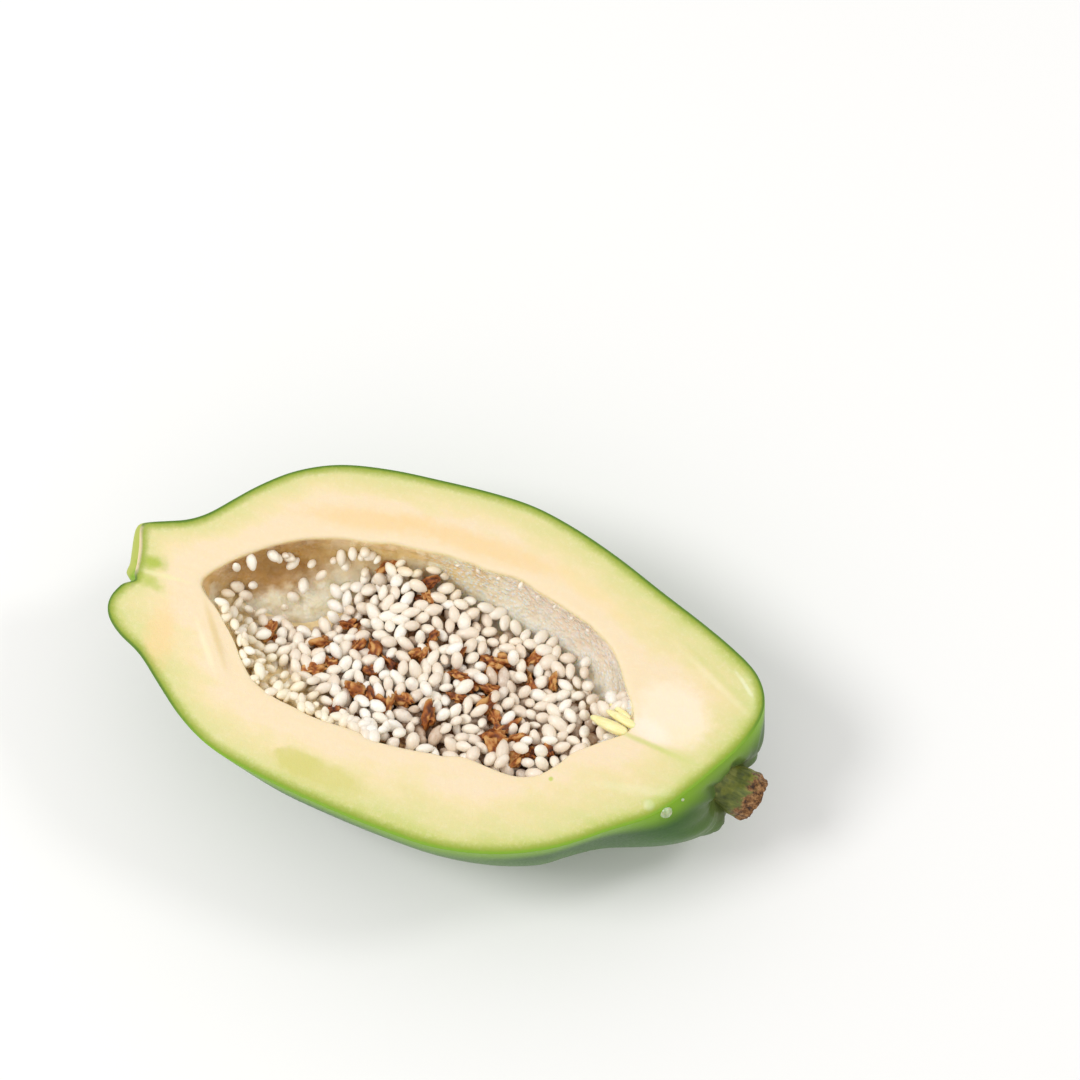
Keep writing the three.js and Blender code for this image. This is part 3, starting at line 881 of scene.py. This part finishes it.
STRAY_KINDS = [  # places, height off the wall, smallest and largest size, yellow
    (STRAY_PLACES, 1.2, 0.6, 1.02, 0.3),
    (SPECK_PLACES, 0.5, 0.24, 0.42, 0.1),
    (LUMP_PLACES, 0.5, 1.0, 1.25, 0.0),
]
strays = [
    (proud_of_wall(places, height), draw.uniform(small, large, len(places)), np.full(len(places), yellow))
    for places, height, small, large, yellow in STRAY_KINDS
]
stray_places, stray_sizes, stray_yellow = (np.concatenate(parts) for parts in zip(*strays))
stray_seeds = scatter_seeds(
    "stray_seeds", stray_places, stray_sizes, stray_yellow, 0 * stray_yellow, lean=0.7)
smooth_and_report(stray_seeds)

# %% [markdown]
# ## The brown shrivelled seeds
# Among the white seeds are orange-brown bits: seeds that dried up, with torn scraps of the tissue
# that held them. Each starts as a squashed ball and is crumpled by noise of its own, so no two
# are alike.

# %% Crumple the brown bits
deselect_all()
bpy.ops.mesh.primitive_ico_sphere_add(subdivisions=3, radius=1)
one_scrap = named("one_scrap")
SCRAP_RADII = 1.25 * np.array([2.7, 1.7, 1.35])


def crumpled(place, size, lean):
    """A copy of the scrap, squashed, creased and set at a place."""
    scrap = turned_copy(one_scrap, (0, 0, 0), random_turn(0), (1, 1, 1))
    points = fruit_points(scrap)
    shift = Vector(draw.uniform(-50, 50, 3))
    coarse, fine, lumps = (
        np.array([noise.noise(Vector(p) * scale + side * shift) for p in points])
        for scale, side in ((1.5, 1), (3.1, -1), (0.9, -1)))
    folds = abs(coarse) + 0.6 * abs(fine)
    height = 0.5 + 0.9 * lumps + 0.85 * folds
    points *= height.clip(0.3)[:, None] * SCRAP_RADII * size
    turn = np.array(random_turn(lean).to_matrix())
    write_points(scrap, into_place(points @ turn.T + place))
    keep_below_face(scrap)
    keep_values(scrap, "tint", np.clip(folds * 1.5 + draw.uniform(-0.15, 0.2), 0, 1))
    return scrap


scraps = []
for place in brown_points:
    scraps.append(crumpled(place - (0, 0, 0.4), draw.uniform(0.75, 1.15), 0.35))
    if draw.uniform() < 0.6:
        shift = np.append(draw.uniform(-2.6, 2.6, 2), -1.2)
        scraps.append(crumpled(place + shift, draw.uniform(0.6, 0.9), 0.6))
brown_bits = join("shrivelled_seeds", scraps)
smooth_and_report(brown_bits)

# %% [markdown]
# ## The yellow strands
# At the stem end of the hollow three pale yellow strands of the seed-bearing tissue run out over
# the heap. They are soft cords that taper to a blunt tip, laid along a short curved path.

# %% Lay the strands
STRANDS = [  # start, middle and end of each, then its radius, in mm
    ((59.4, -0.6, -0.6), (55.2, 0.6, -1.2), (49.6, 2.4, -3.8), 1.5),
    ((57.8, -2.9, -0.8), (52.4, -2.4, -1.6), (46.0, -0.4, -4.6), 1.9),
    ((57.2, 1.4, -1.6), (53.4, 3.6, -3.2), (49.8, 5.0, -5.6), 1.0),
]


def strand(start, middle, end, radius, sides=20, rings=18):
    start, middle, end = (np.array(v, float) for v in (start, middle, end))

    def rule(column, row):
        t = (row / rings)[:, None]
        centre = (1 - t) ** 2 * start + 2 * t * (1 - t) * middle + t**2 * end
        run = end - start
        across = np.cross(run, (0, 0, 1))
        across /= np.linalg.norm(across)
        upward = np.cross(across, run / np.linalg.norm(run))
        turn = (column / sides * 2 * np.pi)[:, None]
        size = radius * np.sin(np.pi * t.clip(0, 1)) ** 0.35 * (1 - 0.3 * t)
        size = size * (1 + 0.08 * np.cos(5 * turn))
        points = centre + size * (np.cos(turn) * across + np.sin(turn) * upward)
        return into_place(np.column_stack([points[:, :2], points[:, 2].clip(max=-0.1)]))

    piece, _ = shaped_ball("one_strand", sides, rings, rule)
    return piece


strands = join("yellow_strands", [strand(*each) for each in STRANDS])
face_outward(strands)
subdivide_smooth(strands, 1)
smooth_and_report(strands)

# %% [markdown]
# ## A drop of sap
# A green papaya bleeds white sap where it is cut. Two small drops hang on the skin just under the
# cut edge near the stem. Each is a ball pulled down at its foot and half sunk in the skin.

# %% Hang the drops of sap


def sap_drop(x, y, z, size):
    deselect_all()
    bpy.ops.mesh.primitive_uv_sphere_add(segments=20, ring_count=14, radius=size * MM)
    drop = named("one_drop")
    select_points(drop, read_points(drop)[:, 2] < -0.1 * size * MM)
    bpy.ops.transform.resize(value=(0.85, 0.85, 1.7))
    bpy.ops.transform.translate(value=(0, 0, -0.3 * size * MM))
    bpy.ops.object.mode_set(mode="OBJECT")
    drop.data.transform(Matrix.Translation(into_place((x, y, z))))
    return drop


sap = join("sap_drops", [sap_drop(74.6, -20.1, -1.9, 1.9), sap_drop(78.0, -15.6, -1.1, 0.5)])
smooth_and_report(sap)
for spare in (one_seed, one_scrap):
    bpy.data.objects.remove(spare)

# %% [markdown]
# ## Finishes
# Every finish is built from nodes. A small bench of helpers keeps them short: one adds a node and
# feeds its inputs, and the others bend numbers, mix colours and lay one tone over another. The
# last helper feeds the shader and sets the numbers that are the same all over a piece.

# %% The node bench


class Bench:
    """Adds nodes to one material or group. A value may be a number, a colour or another socket."""

    def __init__(self, tree):
        self.tree = tree

    def add(self, kind, feeds=None, **settings):
        node = self.tree.nodes.new(kind)
        for key, value in settings.items():
            setattr(node, key, value)
        for key, value in (feeds or {}).items():
            self.feed(node.inputs[key], value)
        return node

    def feed(self, socket, value):
        if isinstance(value, bpy.types.NodeSocket):
            self.tree.links.new(value, socket)
        else:
            socket.default_value = value

    def math(self, operation, *values):
        return self.add("ShaderNodeMath", dict(enumerate(values)), operation=operation).outputs[0]

    def times(self, first, second):
        return self.math("MULTIPLY", first, second)

    def vector(self, operation, *values):
        return self.add("ShaderNodeVectorMath", dict(enumerate(values)), operation=operation).outputs[0]

    def between(self, value, low, high, to_low=0.0, to_high=1.0):
        """Eases a value from to_low, where it is low, to to_high, where it is high."""
        feeds = {0: value, 1: low, 2: high, 3: to_low, 4: to_high}
        return self.add("ShaderNodeMapRange", feeds, interpolation_type="SMOOTHSTEP").outputs[0]

    def colour_mix(self, factor, first, second):
        return self.add("ShaderNodeMix", {0: factor, 6: first, 7: second}, data_type="RGBA").outputs[2]

    def layered(self, colour, *layers):
        """A colour with tones laid over it, each given as (mask, red, green, blue)."""
        for mask, *tone in layers:
            colour = self.colour_mix(mask, colour, paint(*tone))
        return colour

    def ramp(self, value, *stops):
        """A colour read off a scale, from stops given as (position, red, green, blue)."""
        node = self.add("ShaderNodeValToRGB", {0: value})
        band = node.color_ramp
        while len(band.elements) < len(stops):
            band.elements.new(0.5)
        for element, (position, *tone) in zip(band.elements, stops):
            element.position, element.color = position, paint(*tone)
        return node.outputs[0]

    def kept(self, name):
        return self.add("ShaderNodeAttribute", attribute_name=name).outputs["Fac"]

    def where(self):
        """Object coordinates in millimetres."""
        spot = self.add("ShaderNodeTexCoord").outputs["Object"]
        return self.add("ShaderNodeVectorMath", {0: spot, 3: 1 / MM}, operation="SCALE").outputs[0]

    def noise(self, vector, scale, detail=3.0, roughness=0.5, distortion=0.0):
        feeds = {"Vector": vector, "Scale": scale, "Detail": detail, "Roughness": roughness,
                 "Distortion": distortion}
        return self.add("ShaderNodeTexNoise", feeds).outputs[0]

    def stretched(self, vector, x, y=1, z=1):
        return self.vector("MULTIPLY", vector, (x, y, z))

    def feed_shader(self, colour, roughness, relief=(), even=()):
        """The relief is a height, its strength and its depth in metres. Even values are numbers."""
        sockets = self.tree.nodes["Principled BSDF"].inputs
        self.feed(sockets["Base Color"], colour)
        self.feed(sockets["Roughness"], roughness)
        if relief:
            bump = dict(zip(("Height", "Strength", "Distance"), relief))
            self.feed(sockets["Normal"], self.add("ShaderNodeBump", bump).outputs[0])
        for name, value in dict(even).items():
            sockets[name].default_value = value
        print("a finish of", len(self.tree.nodes), "nodes")


def new_finish(name):
    finish = bpy.data.materials.new(name)
    finish.use_nodes = True
    bench = Bench(finish.node_tree)
    return finish, bench, bench.where()


# %% [markdown]
# ## A soft patch
# Cut flesh is never one even colour. Bruises, veins and paler zones are all soft-edged ovals with
# a ragged outline, so one group makes them: give it a place, a size and a turn, and it puts out a
# mask.

# %% Build the patch group
PATCH_INPUTS = [
    ("Centre", "NodeSocketVector", (0, 0, 0)), ("Size", "NodeSocketVector", (10, 5, 10)),
    ("Turn", "NodeSocketFloat", 0.0), ("Ragged", "NodeSocketFloat", 0.3),
    ("Softness", "NodeSocketFloat", 0.5),
]
patch_tree = bpy.data.node_groups.new("soft_patch", "ShaderNodeTree")
for title, kind, value in PATCH_INPUTS:
    socket = patch_tree.interface.new_socket(name=title, in_out="INPUT", socket_type=kind)
    socket.default_value = value
patch_tree.interface.new_socket(name="Mask", in_out="OUTPUT", socket_type="NodeSocketFloat")
bench = Bench(patch_tree)
given = bench.add("NodeGroupInput").outputs
spot = bench.where()
flat = bench.stretched(bench.vector("SUBTRACT", spot, given["Centre"]), 1, 1, 0)
turning = {"Vector": flat, "Angle": bench.times(given["Turn"], -1.0)}
turned = bench.add("ShaderNodeVectorRotate", turning, rotation_type="Z_AXIS").outputs[0]
sized = bench.vector("DIVIDE", turned, given["Size"])
far = bench.add("ShaderNodeVectorMath", {0: sized}, operation="LENGTH").outputs["Value"]
ragged = bench.times(bench.math("SUBTRACT", bench.noise(spot, 0.35), 0.5), given["Ragged"])
edge = bench.math("ADD", far, bench.times(ragged, 2.0))
inner = bench.math("SUBTRACT", 1.0, given["Softness"])
outer = bench.math("ADD", 1.0, given["Softness"])
bench.add("NodeGroupOutput", {"Mask": bench.between(edge, inner, outer, 1.0, 0.0)})


def patch(bench, x, y, length, width, turn=0.0, ragged=0.4, softness=0.5):
    """A patch mask at a place of the cut face, in the fruit's own millimetres and degrees."""
    group = bench.add("ShaderNodeGroup", node_tree=patch_tree)
    values = {"Centre": (x + FRUIT_PLACE[0], y + FRUIT_PLACE[1], 0), "Size": (length / 2, width / 2, 1),
              "Turn": math.radians(turn), "Ragged": ragged, "Softness": softness}
    for key, value in values.items():
        group.inputs[key].default_value = value
    return group.outputs["Mask"]


# %% [markdown]
# ## Cut flesh
# The face is wet and firm, like a cut cucumber. Its colour runs from the green line of the skin
# through yellow-green to cream, wavering a little, with orange tints on the far side, a green
# bruise on the near side, a pale round zone by the stem and a green vein running to it. The line
# itself is darker on the far side, as painted shade, and darker at the blossom end. Painted shade
# and a painted highlight mark the knife step, and a painted glint lies by the right edge. A little
# light passes under the surface.

# %% Finish for the cut flesh
cut_flesh, bench, spot = new_finish("cut_flesh")
waver = bench.noise(bench.stretched(spot, 0.6), 0.16)
into = bench.times(bench.kept("into_flesh"), bench.between(waver, 0.3, 0.7, 0.82, 1.2))
fibres = bench.noise(bench.stretched(spot, 0.25), 0.5, 5.0, 0.6)
mottle = bench.noise(spot, 0.9, 4.0, 0.65)
colour = bench.ramp(
    into, (0.0, 158, 178, 56), (0.1, 194, 202, 104), (0.28, 218, 215, 146), (0.52, 228, 217, 156),
    (0.78, 238, 220, 170), (1.0, 242, 221, 184))
colour = bench.layered(
    colour,
    (bench.between(fibres, 0.35, 0.75, 0.0, 0.2), 242, 212, 154),
    (bench.between(mottle, 0.45, 0.8, 0.0, 0.22), 252, 236, 208))
ORANGE, BRUISE, VEIN = (243, 206, 140), (212, 205, 118), (196, 206, 96)
FLESH_PATCHES = [  # x, y, length, width, turn, ragged, softness, colour, strength
    (-30, 32, 34, 6, 12, 0.5, 0.6, ORANGE, 0.55),
    (2, 35, 40, 6, 0, 0.5, 0.6, ORANGE, 0.55),
    (-73, -21, 8, 18, 12, 0.6, 0.6, (247, 208, 150), 0.5),
    (34, 32, 26, 5, -16, 0.5, 0.6, (247, 218, 160), 0.3),
    (-17, -42.3, 26, 7, -3, 0.4, 0.4, BRUISE, 0.7),
    (-24, -41.4, 13, 7, -4, 0.4, 0.3, BRUISE, 0.7),
    (68, 6, 21, 17, -20, 0.3, 0.3, (254, 238, 214), 0.55),
    (63, -0.5, 12, 6, -12, 0.3, 0.5, (255, 240, 222), 0.55),
    (65, -4.2, 19, 1.5, -5, 0.5, 0.7, VEIN, 0.6),
    (73, -4.8, 12, 3.5, -3, 0.5, 0.7, (212, 216, 134), 0.5),
    (70, -20.5, 3, 3, 0, 0.2, 0.4, (226, 228, 176), 0.9),
    (73, -18, 8, 4, 35, 0.4, 0.6, (178, 198, 84), 0.5),
    (-83.3, -0.7, 6.5, 4, 8, 0.7, 0.8, (168, 188, 48), 0.85),
    (-82.5, -6.3, 8, 3, -10, 0.8, 0.8, (178, 194, 70), 0.7),
    (-79, -3.4, 14, 1.2, 4, 0.5, 0.8, (238, 232, 176), 0.6),
    (42.5, -22.5, 1.2, 1.2, 0, 0.4, 0.5, VEIN, 0.9),
    (86, 19, 12, 2.4, -62, 0.8, 0.7, (232, 236, 180), 0.3),
    # painted shade and painted highlight along the knife step by the near-left rim: a tan line, then a pale
    # streak
    (-59, -14.5, 17, 1.6, -52, 0.4, 0.8, (222, 194, 124), 0.5),
    (-60, -19, 14, 1.6, -50, 0.4, 0.7, (255, 240, 200), 0.5),
    (-88.3, -0.5, 17, 1.3, -75.6, 0.5, 0.5, (214, 190, 156), 0.8),
    (77, 20.5, 25, 1.8, -27, 0.6, 0.8, (204, 210, 124), 0.3),
    (76, 18.6, 22, 1.6, -27, 0.6, 0.8, (250, 240, 200), 0.3),
    # painted glint: a pale dash on the wet flesh by the right edge
    (83.5, 21, 8, 1.2, -40, 0.9, 0.5, (244, 246, 214), 0.5),
    (64.5, -17.6, 20, 2.4, 12, 0.8, 0.8, (242, 238, 196), 0.3),
]
for *oval, tone, strength in FLESH_PATCHES:
    colour = bench.layered(colour, (bench.times(patch(bench, *oval), strength), *tone))
depth_in = bench.times(bench.kept("from_skin"), bench.between(mottle, 0.3, 0.7, 0.93, 1.08))
colour = bench.layered(colour, (bench.between(depth_in, 0.5, 3.4, 0.85, 0.0), 138, 160, 16))
x_side, y_side, _ = bench.add("ShaderNodeSeparateXYZ", {0: spot}).outputs
blossom_end = bench.between(x_side, -72.0, -50.0, 1.0, 0.0)
# painted shade: the knife line is darker green on the far side; it is darker at the blossom end too
dark_side = bench.math("MAXIMUM", bench.between(y_side, 0.0, 20.0), blossom_end)
knife_line = bench.colour_mix(dark_side, paint(122, 166, 18), paint(74, 116, 4))
colour = bench.colour_mix(bench.between(depth_in, 0.3, 1.2, 0.95, 0.0), colour, knife_line)
scar_edge = bench.between(depth_in, 0.3, 1.3, 1.0, 0.0)
scar_edge = bench.times(patch(bench, -90, 0, 9, 16, softness=0.3), scar_edge)
colour = bench.layered(colour, (scar_edge, 228, 208, 166))
grain = bench.noise(spot, 1.6, 5.0, 0.7)
height = bench.math("ADD", grain, bench.times(bench.noise(spot, 5.0, 2.0, 0.6), 0.4))
bench.feed_shader(
    colour, bench.between(grain, 0.3, 0.7, 0.36, 0.52), (height, 0.35, 0.0004),
    {"Subsurface Weight": 0.2, "Subsurface Radius": (1.0, 0.7, 0.3), "Subsurface Scale": 0.002})

# %% [markdown]
# ## Green skin
# The skin is waxy and smooth. Its green is deep with lighter yellow-green clouds, very fine
# lengthwise streaks and tiny pores. It turns brighter just below the knife's edge, olive grey
# round the stem and pale on the blossom scar. The wax is a thin coat over a softer sheen.

# %% Finish for the skin
green_skin, bench, spot = new_finish("green_skin")
clouds = bench.noise(bench.stretched(spot, 0.5), 0.035)
streaks = bench.noise(bench.stretched(spot, 0.05), 0.6, 4.0, 0.6)
speckle = bench.noise(spot, 1.4, 3.0, 0.6)
depth = bench.kept("below_face")
stem_distance = bench.kept("from_stem")
stem_ring = bench.math("ADD", stem_distance, bench.times(speckle, 4.0))
scar_skin = bench.times(patch(bench, -92, 1, 12, 20, 0, 0.5, 0.3), bench.between(depth, 1.5, 6.0, 0.9, 0.05))
colour = bench.layered(
    bench.ramp(clouds, (0.3, 36, 80, 12), (0.5, 56, 102, 16), (0.68, 90, 134, 26)),
    (bench.between(streaks, 0.4, 0.75, 0.0, 0.35), 32, 76, 12),
    (bench.between(speckle, 0.55, 0.8, 0.0, 0.35), 92, 136, 34),
    (bench.between(depth, 0.5, 8.0, 1.0, 0.0), 124, 170, 22),
    (bench.between(stem_ring, 8.0, 14.0, 0.8, 0.0), 98, 110, 50),
    (bench.between(stem_distance, 12.0, 24.0, 0.4, 0.0), 104, 116, 66),
    (scar_skin, 186, 192, 96))
height = bench.math("ADD", bench.noise(spot, 0.9), bench.times(speckle, 0.3))
bench.feed_shader(
    colour, bench.between(speckle, 0.3, 0.7, 0.34, 0.46), (height, 0.18, 0.0004),
    {"Coat Weight": 0.07, "Coat Roughness": 0.18, "Specular IOR Level": 0.22})

# %% [markdown]
# ## Lining of the hollow
# At the rim the lining is still flesh. Below it turns yellow at the blossom end and frosted
# pinkish white at the stem end, where the surface is a field of tiny wet grains with painted
# glints, white dots on the grains. Under the far rim runs a band of painted shade: brown in the
# blossom-end corner, pale yellow-brown further along and grey-brown on the stem side. The
# wetness is a clear coat over a bumpy surface. On the jelly the bumps are higher and the gloss is
# sharper, which gives it its glints.

# %% Finish for the lining
hollow_lining, bench, spot = new_finish("hollow_lining")
along = bench.add("ShaderNodeSeparateXYZ", {0: spot}).outputs[0]
depth = bench.kept("below_face")
grains = bench.add("ShaderNodeTexVoronoi", {"Vector": spot, "Scale": 0.8}, feature="F1").outputs["Distance"]
film = bench.noise(spot, 0.22, 4.0, 0.6)
cloudy = bench.between(film, 0.35, 0.65)
blossom_side = bench.colour_mix(cloudy, paint(240, 208, 142), paint(255, 240, 206))
stem_side = bench.colour_mix(cloudy, paint(250, 231, 205), paint(255, 243, 226))
# painted glints: white dots on the grains, mostly at the stem end
grain_glints = bench.times(bench.between(grains, 0.2, 0.5, 1.0, 0.0), bench.between(along, -24.0, 0.0, 0.1, 1.0))
# painted shade under the far rim, in three patches: the far strip, the blossom-end corner and the stem side
far_shade = patch(bench, -34, 24, 46, 8, 18)
corner_shade = patch(bench, -54, 13, 34, 9, 36)
stem_rim_shade = patch(bench, 34, 25, 50, 10, -20)
colour = bench.layered(
    bench.colour_mix(bench.between(along, -12.0, 22.0), blossom_side, stem_side),
    # painted glints on the grains
    (grain_glints, 255, 255, 252),
    # painted shade under the far rim, light yellow-brown
    (bench.times(far_shade, 0.6), 222, 188, 112),
    (bench.times(bench.between(depth, 8.0, 20.0), 0.6), 255, 246, 228),
    # painted shade under the rim in the blossom-end corner, brown
    (bench.times(corner_shade, 0.9), 184, 134, 54),
    # painted shade under the rim on the stem side, grey-brown
    (bench.times(stem_rim_shade, 0.3), 232, 208, 184),
    (bench.between(depth, 0.6, 2.4, 1.0, 0.0), 246, 226, 176))
grain_relief = bench.times(grains, bench.between(along, -24.0, 0.0, 0.15, 2.4))
height = bench.math("SUBTRACT", bench.math("ADD", film, bench.noise(spot, 0.5, 2.0)), grain_relief)
on_jelly = patch(bench, -47, 9, 32, 20, softness=0.4)
height = bench.times(height, bench.math("MULTIPLY_ADD", on_jelly, 4.0, 1.0))
dullness = bench.math("MULTIPLY_ADD", on_jelly, -0.65, 1.0)
bench.feed_shader(
    colour, bench.times(bench.between(film, 0.35, 0.65, 0.16, 0.36), dullness), (height, 0.45, 0.0004),
    {"Coat Weight": 0.8, "Coat Roughness": 0.07, "Subsurface Weight": 0.7,
     "Subsurface Radius": (1.0, 0.8, 0.55), "Subsurface Scale": 0.006})

# %% [markdown]
# ## Seeds, bed and brown bits
# The seeds are opaque white with a pinkish-grey shade and a soft shine. Each copy carries a tint
# of its own, the unripe ones lean to yellow, and those deep in the heap or beside a pit get a
# brown tint, which is painted shade in the gaps. The bed is wet tissue, painted dark as the shade
# between the seeds, with paler pulp by the wall. The brown bits are lighter on the raised folds
# and darker in the creases.

# %% Finish for the seeds
seed_white, bench, spot = new_finish("seed_white")
veil = bench.noise(spot, 0.7, 3.0, 0.6)
# painted shade in the gaps: a brown tint on the seeds deep in the heap and beside the pits
painted_gap_shade = bench.times(bench.kept("gap_shade"), bench.between(veil, 0.3, 0.7, 0.55, 0.95))
colour = bench.layered(
    bench.ramp(bench.kept("tint"), (0.0, 240, 225, 206), (0.5, 250, 239, 222), (1.0, 255, 250, 240)),
    (bench.times(bench.kept("yellow"), 0.6), 255, 240, 202),
    (bench.between(veil, 0.5, 0.75, 0.0, 0.3), 224, 202, 178),
    (painted_gap_shade, 168, 122, 76))
bench.feed_shader(
    colour, bench.between(veil, 0.3, 0.7, 0.3, 0.45), (bench.noise(spot, 2.5, 3.0, 0.6), 0.15, 0.0003),
    {"Coat Weight": 0.2, "Coat Roughness": 0.15, "Subsurface Weight": 0.15,
     "Subsurface Radius": (1.0, 0.75, 0.55), "Subsurface Scale": 0.0012})

# %% Finish for the bed
bed_tissue_and_gap_shade, bench, spot = new_finish("bed_tissue_and_gap_shade")
threads = bench.noise(spot, 0.45, 4.0, 0.6, 0.8)
PULP = (250, 228, 178)
colour = bench.layered(
    # the dark ramp is painted shade for the gaps between the seeds; the pale pulp is the tissue's own colour
    bench.ramp(threads, (0.3, 70, 34, 10), (0.5, 128, 82, 38), (0.7, 196, 158, 108)),
    (patch(bench, -43, -19, 62, 20, -28, 0.3), *PULP),
    (patch(bench, -46, 8, 34, 24, 0, 0.3, 0.3), *PULP),
    (bench.between(bench.kept("over_wall"), 1.0, 4.0, 1.0, 0.0), *PULP),
    # painted shade, darkest in the pits
    (bench.kept("pit"), 58, 26, 8))
bench.feed_shader(colour, bench.between(threads, 0.3, 0.7, 0.3, 0.5), (threads, 0.8, 0.001))

# %% Finish for the brown bits
dried_brown, bench, spot = new_finish("dried_brown")
crease = bench.noise(spot, 1.3, 4.0, 0.7)
folded = bench.math("ADD", bench.times(bench.kept("tint"), 0.7), bench.times(crease, 0.3))
colour = bench.ramp(
    folded, (0.2, 70, 30, 6), (0.38, 128, 62, 14), (0.58, 178, 102, 36), (0.82, 220, 166, 98))
bench.feed_shader(colour, bench.between(crease, 0.3, 0.7, 0.35, 0.6), (crease, 0.7, 0.0006))

# %% Finish for the strands
strand_yellow, bench, spot = new_finish("strand_yellow")
cords = bench.noise(bench.stretched(spot, 0.3, 1.4, 1.4), 0.9)
colour = bench.ramp(cords, (0.3, 242, 230, 158), (0.6, 252, 242, 184), (0.8, 255, 250, 214))
bench.feed_shader(
    colour, bench.between(cords, 0.3, 0.7, 0.3, 0.45), (cords, 0.4, 0.0006),
    {"Subsurface Weight": 0.2, "Subsurface Scale": 0.0015})

# %% Finish for the sap
sap_white, bench, spot = new_finish("sap_white")
milk = bench.noise(spot, 0.8, 2.0)
colour = bench.ramp(milk, (0.3, 150, 170, 118), (0.7, 188, 202, 158))
bench.feed_shader(
    colour, bench.between(milk, 0.3, 0.7, 0.12, 0.25),
    even={"Subsurface Weight": 0.4, "Subsurface Scale": 0.001})

# %% [markdown]
# ## Stem
# The stem is olive green with paler ridges, yellow-green just before its broken end, and brown
# cork with dark pits on the end itself.

# %% Finish for the stem
stem_bark, bench, spot = new_finish("stem_bark")
bark = bench.noise(bench.stretched(spot, 0.3), 0.7, 4.0, 0.6)
blotch = bench.noise(spot, 0.22, 2.0)
pits = bench.noise(spot, 0.75, 5.0, 0.7)
colour = bench.layered(
    bench.ramp(bark, (0.3, 74, 84, 32), (0.5, 104, 114, 44), (0.72, 146, 146, 66)),
    (bench.between(blotch, 0.5, 0.62, 0.0, 0.5), 150, 152, 44))
cork = bench.ramp(pits, (0.38, 48, 26, 10), (0.5, 126, 84, 44), (0.66, 182, 138, 90))
ragged_end = bench.between(bench.noise(spot, 0.5), 0.3, 0.7, -0.07, 0.07)
fray = bench.math("ADD", bench.kept("along_stem"), ragged_end)
colour = bench.colour_mix(bench.between(fray, 0.73, 0.83), colour, cork)
height = bench.math("ADD", bark, pits)
bench.feed_shader(colour, bench.between(fray, 0.75, 0.95, 0.48, 0.85), (height, 0.5, 0.0006))

# %% [markdown]
# ## Dressing the pieces
# Each piece gets its finish and rides on the fruit's one body, and the CAD node that it stands for
# is hidden.

# %% Dress, ride and replace
PIECES = [
    (fruit, [green_skin, cut_flesh, hollow_lining], "flesh", "fruit_half"),
    (stem, [stem_bark], "stem", "stem"),
    (white_seeds, [seed_white], "seeds", "seed_heap"),
    (seed_bed, [bed_tissue_and_gap_shade], "seeds", None),
    (stray_seeds, [seed_white], "seeds", None),
    (brown_bits, [dried_brown], "seeds", None),
    (strands, [strand_yellow], "flesh", None),
    (sap, [sap_white], "flesh", None),
]
for piece, finishes, slot, node in PIECES:
    for finish in finishes:
        piece.data.materials.append(finish)
    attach(piece, "root")
    if node:
        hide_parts(node)
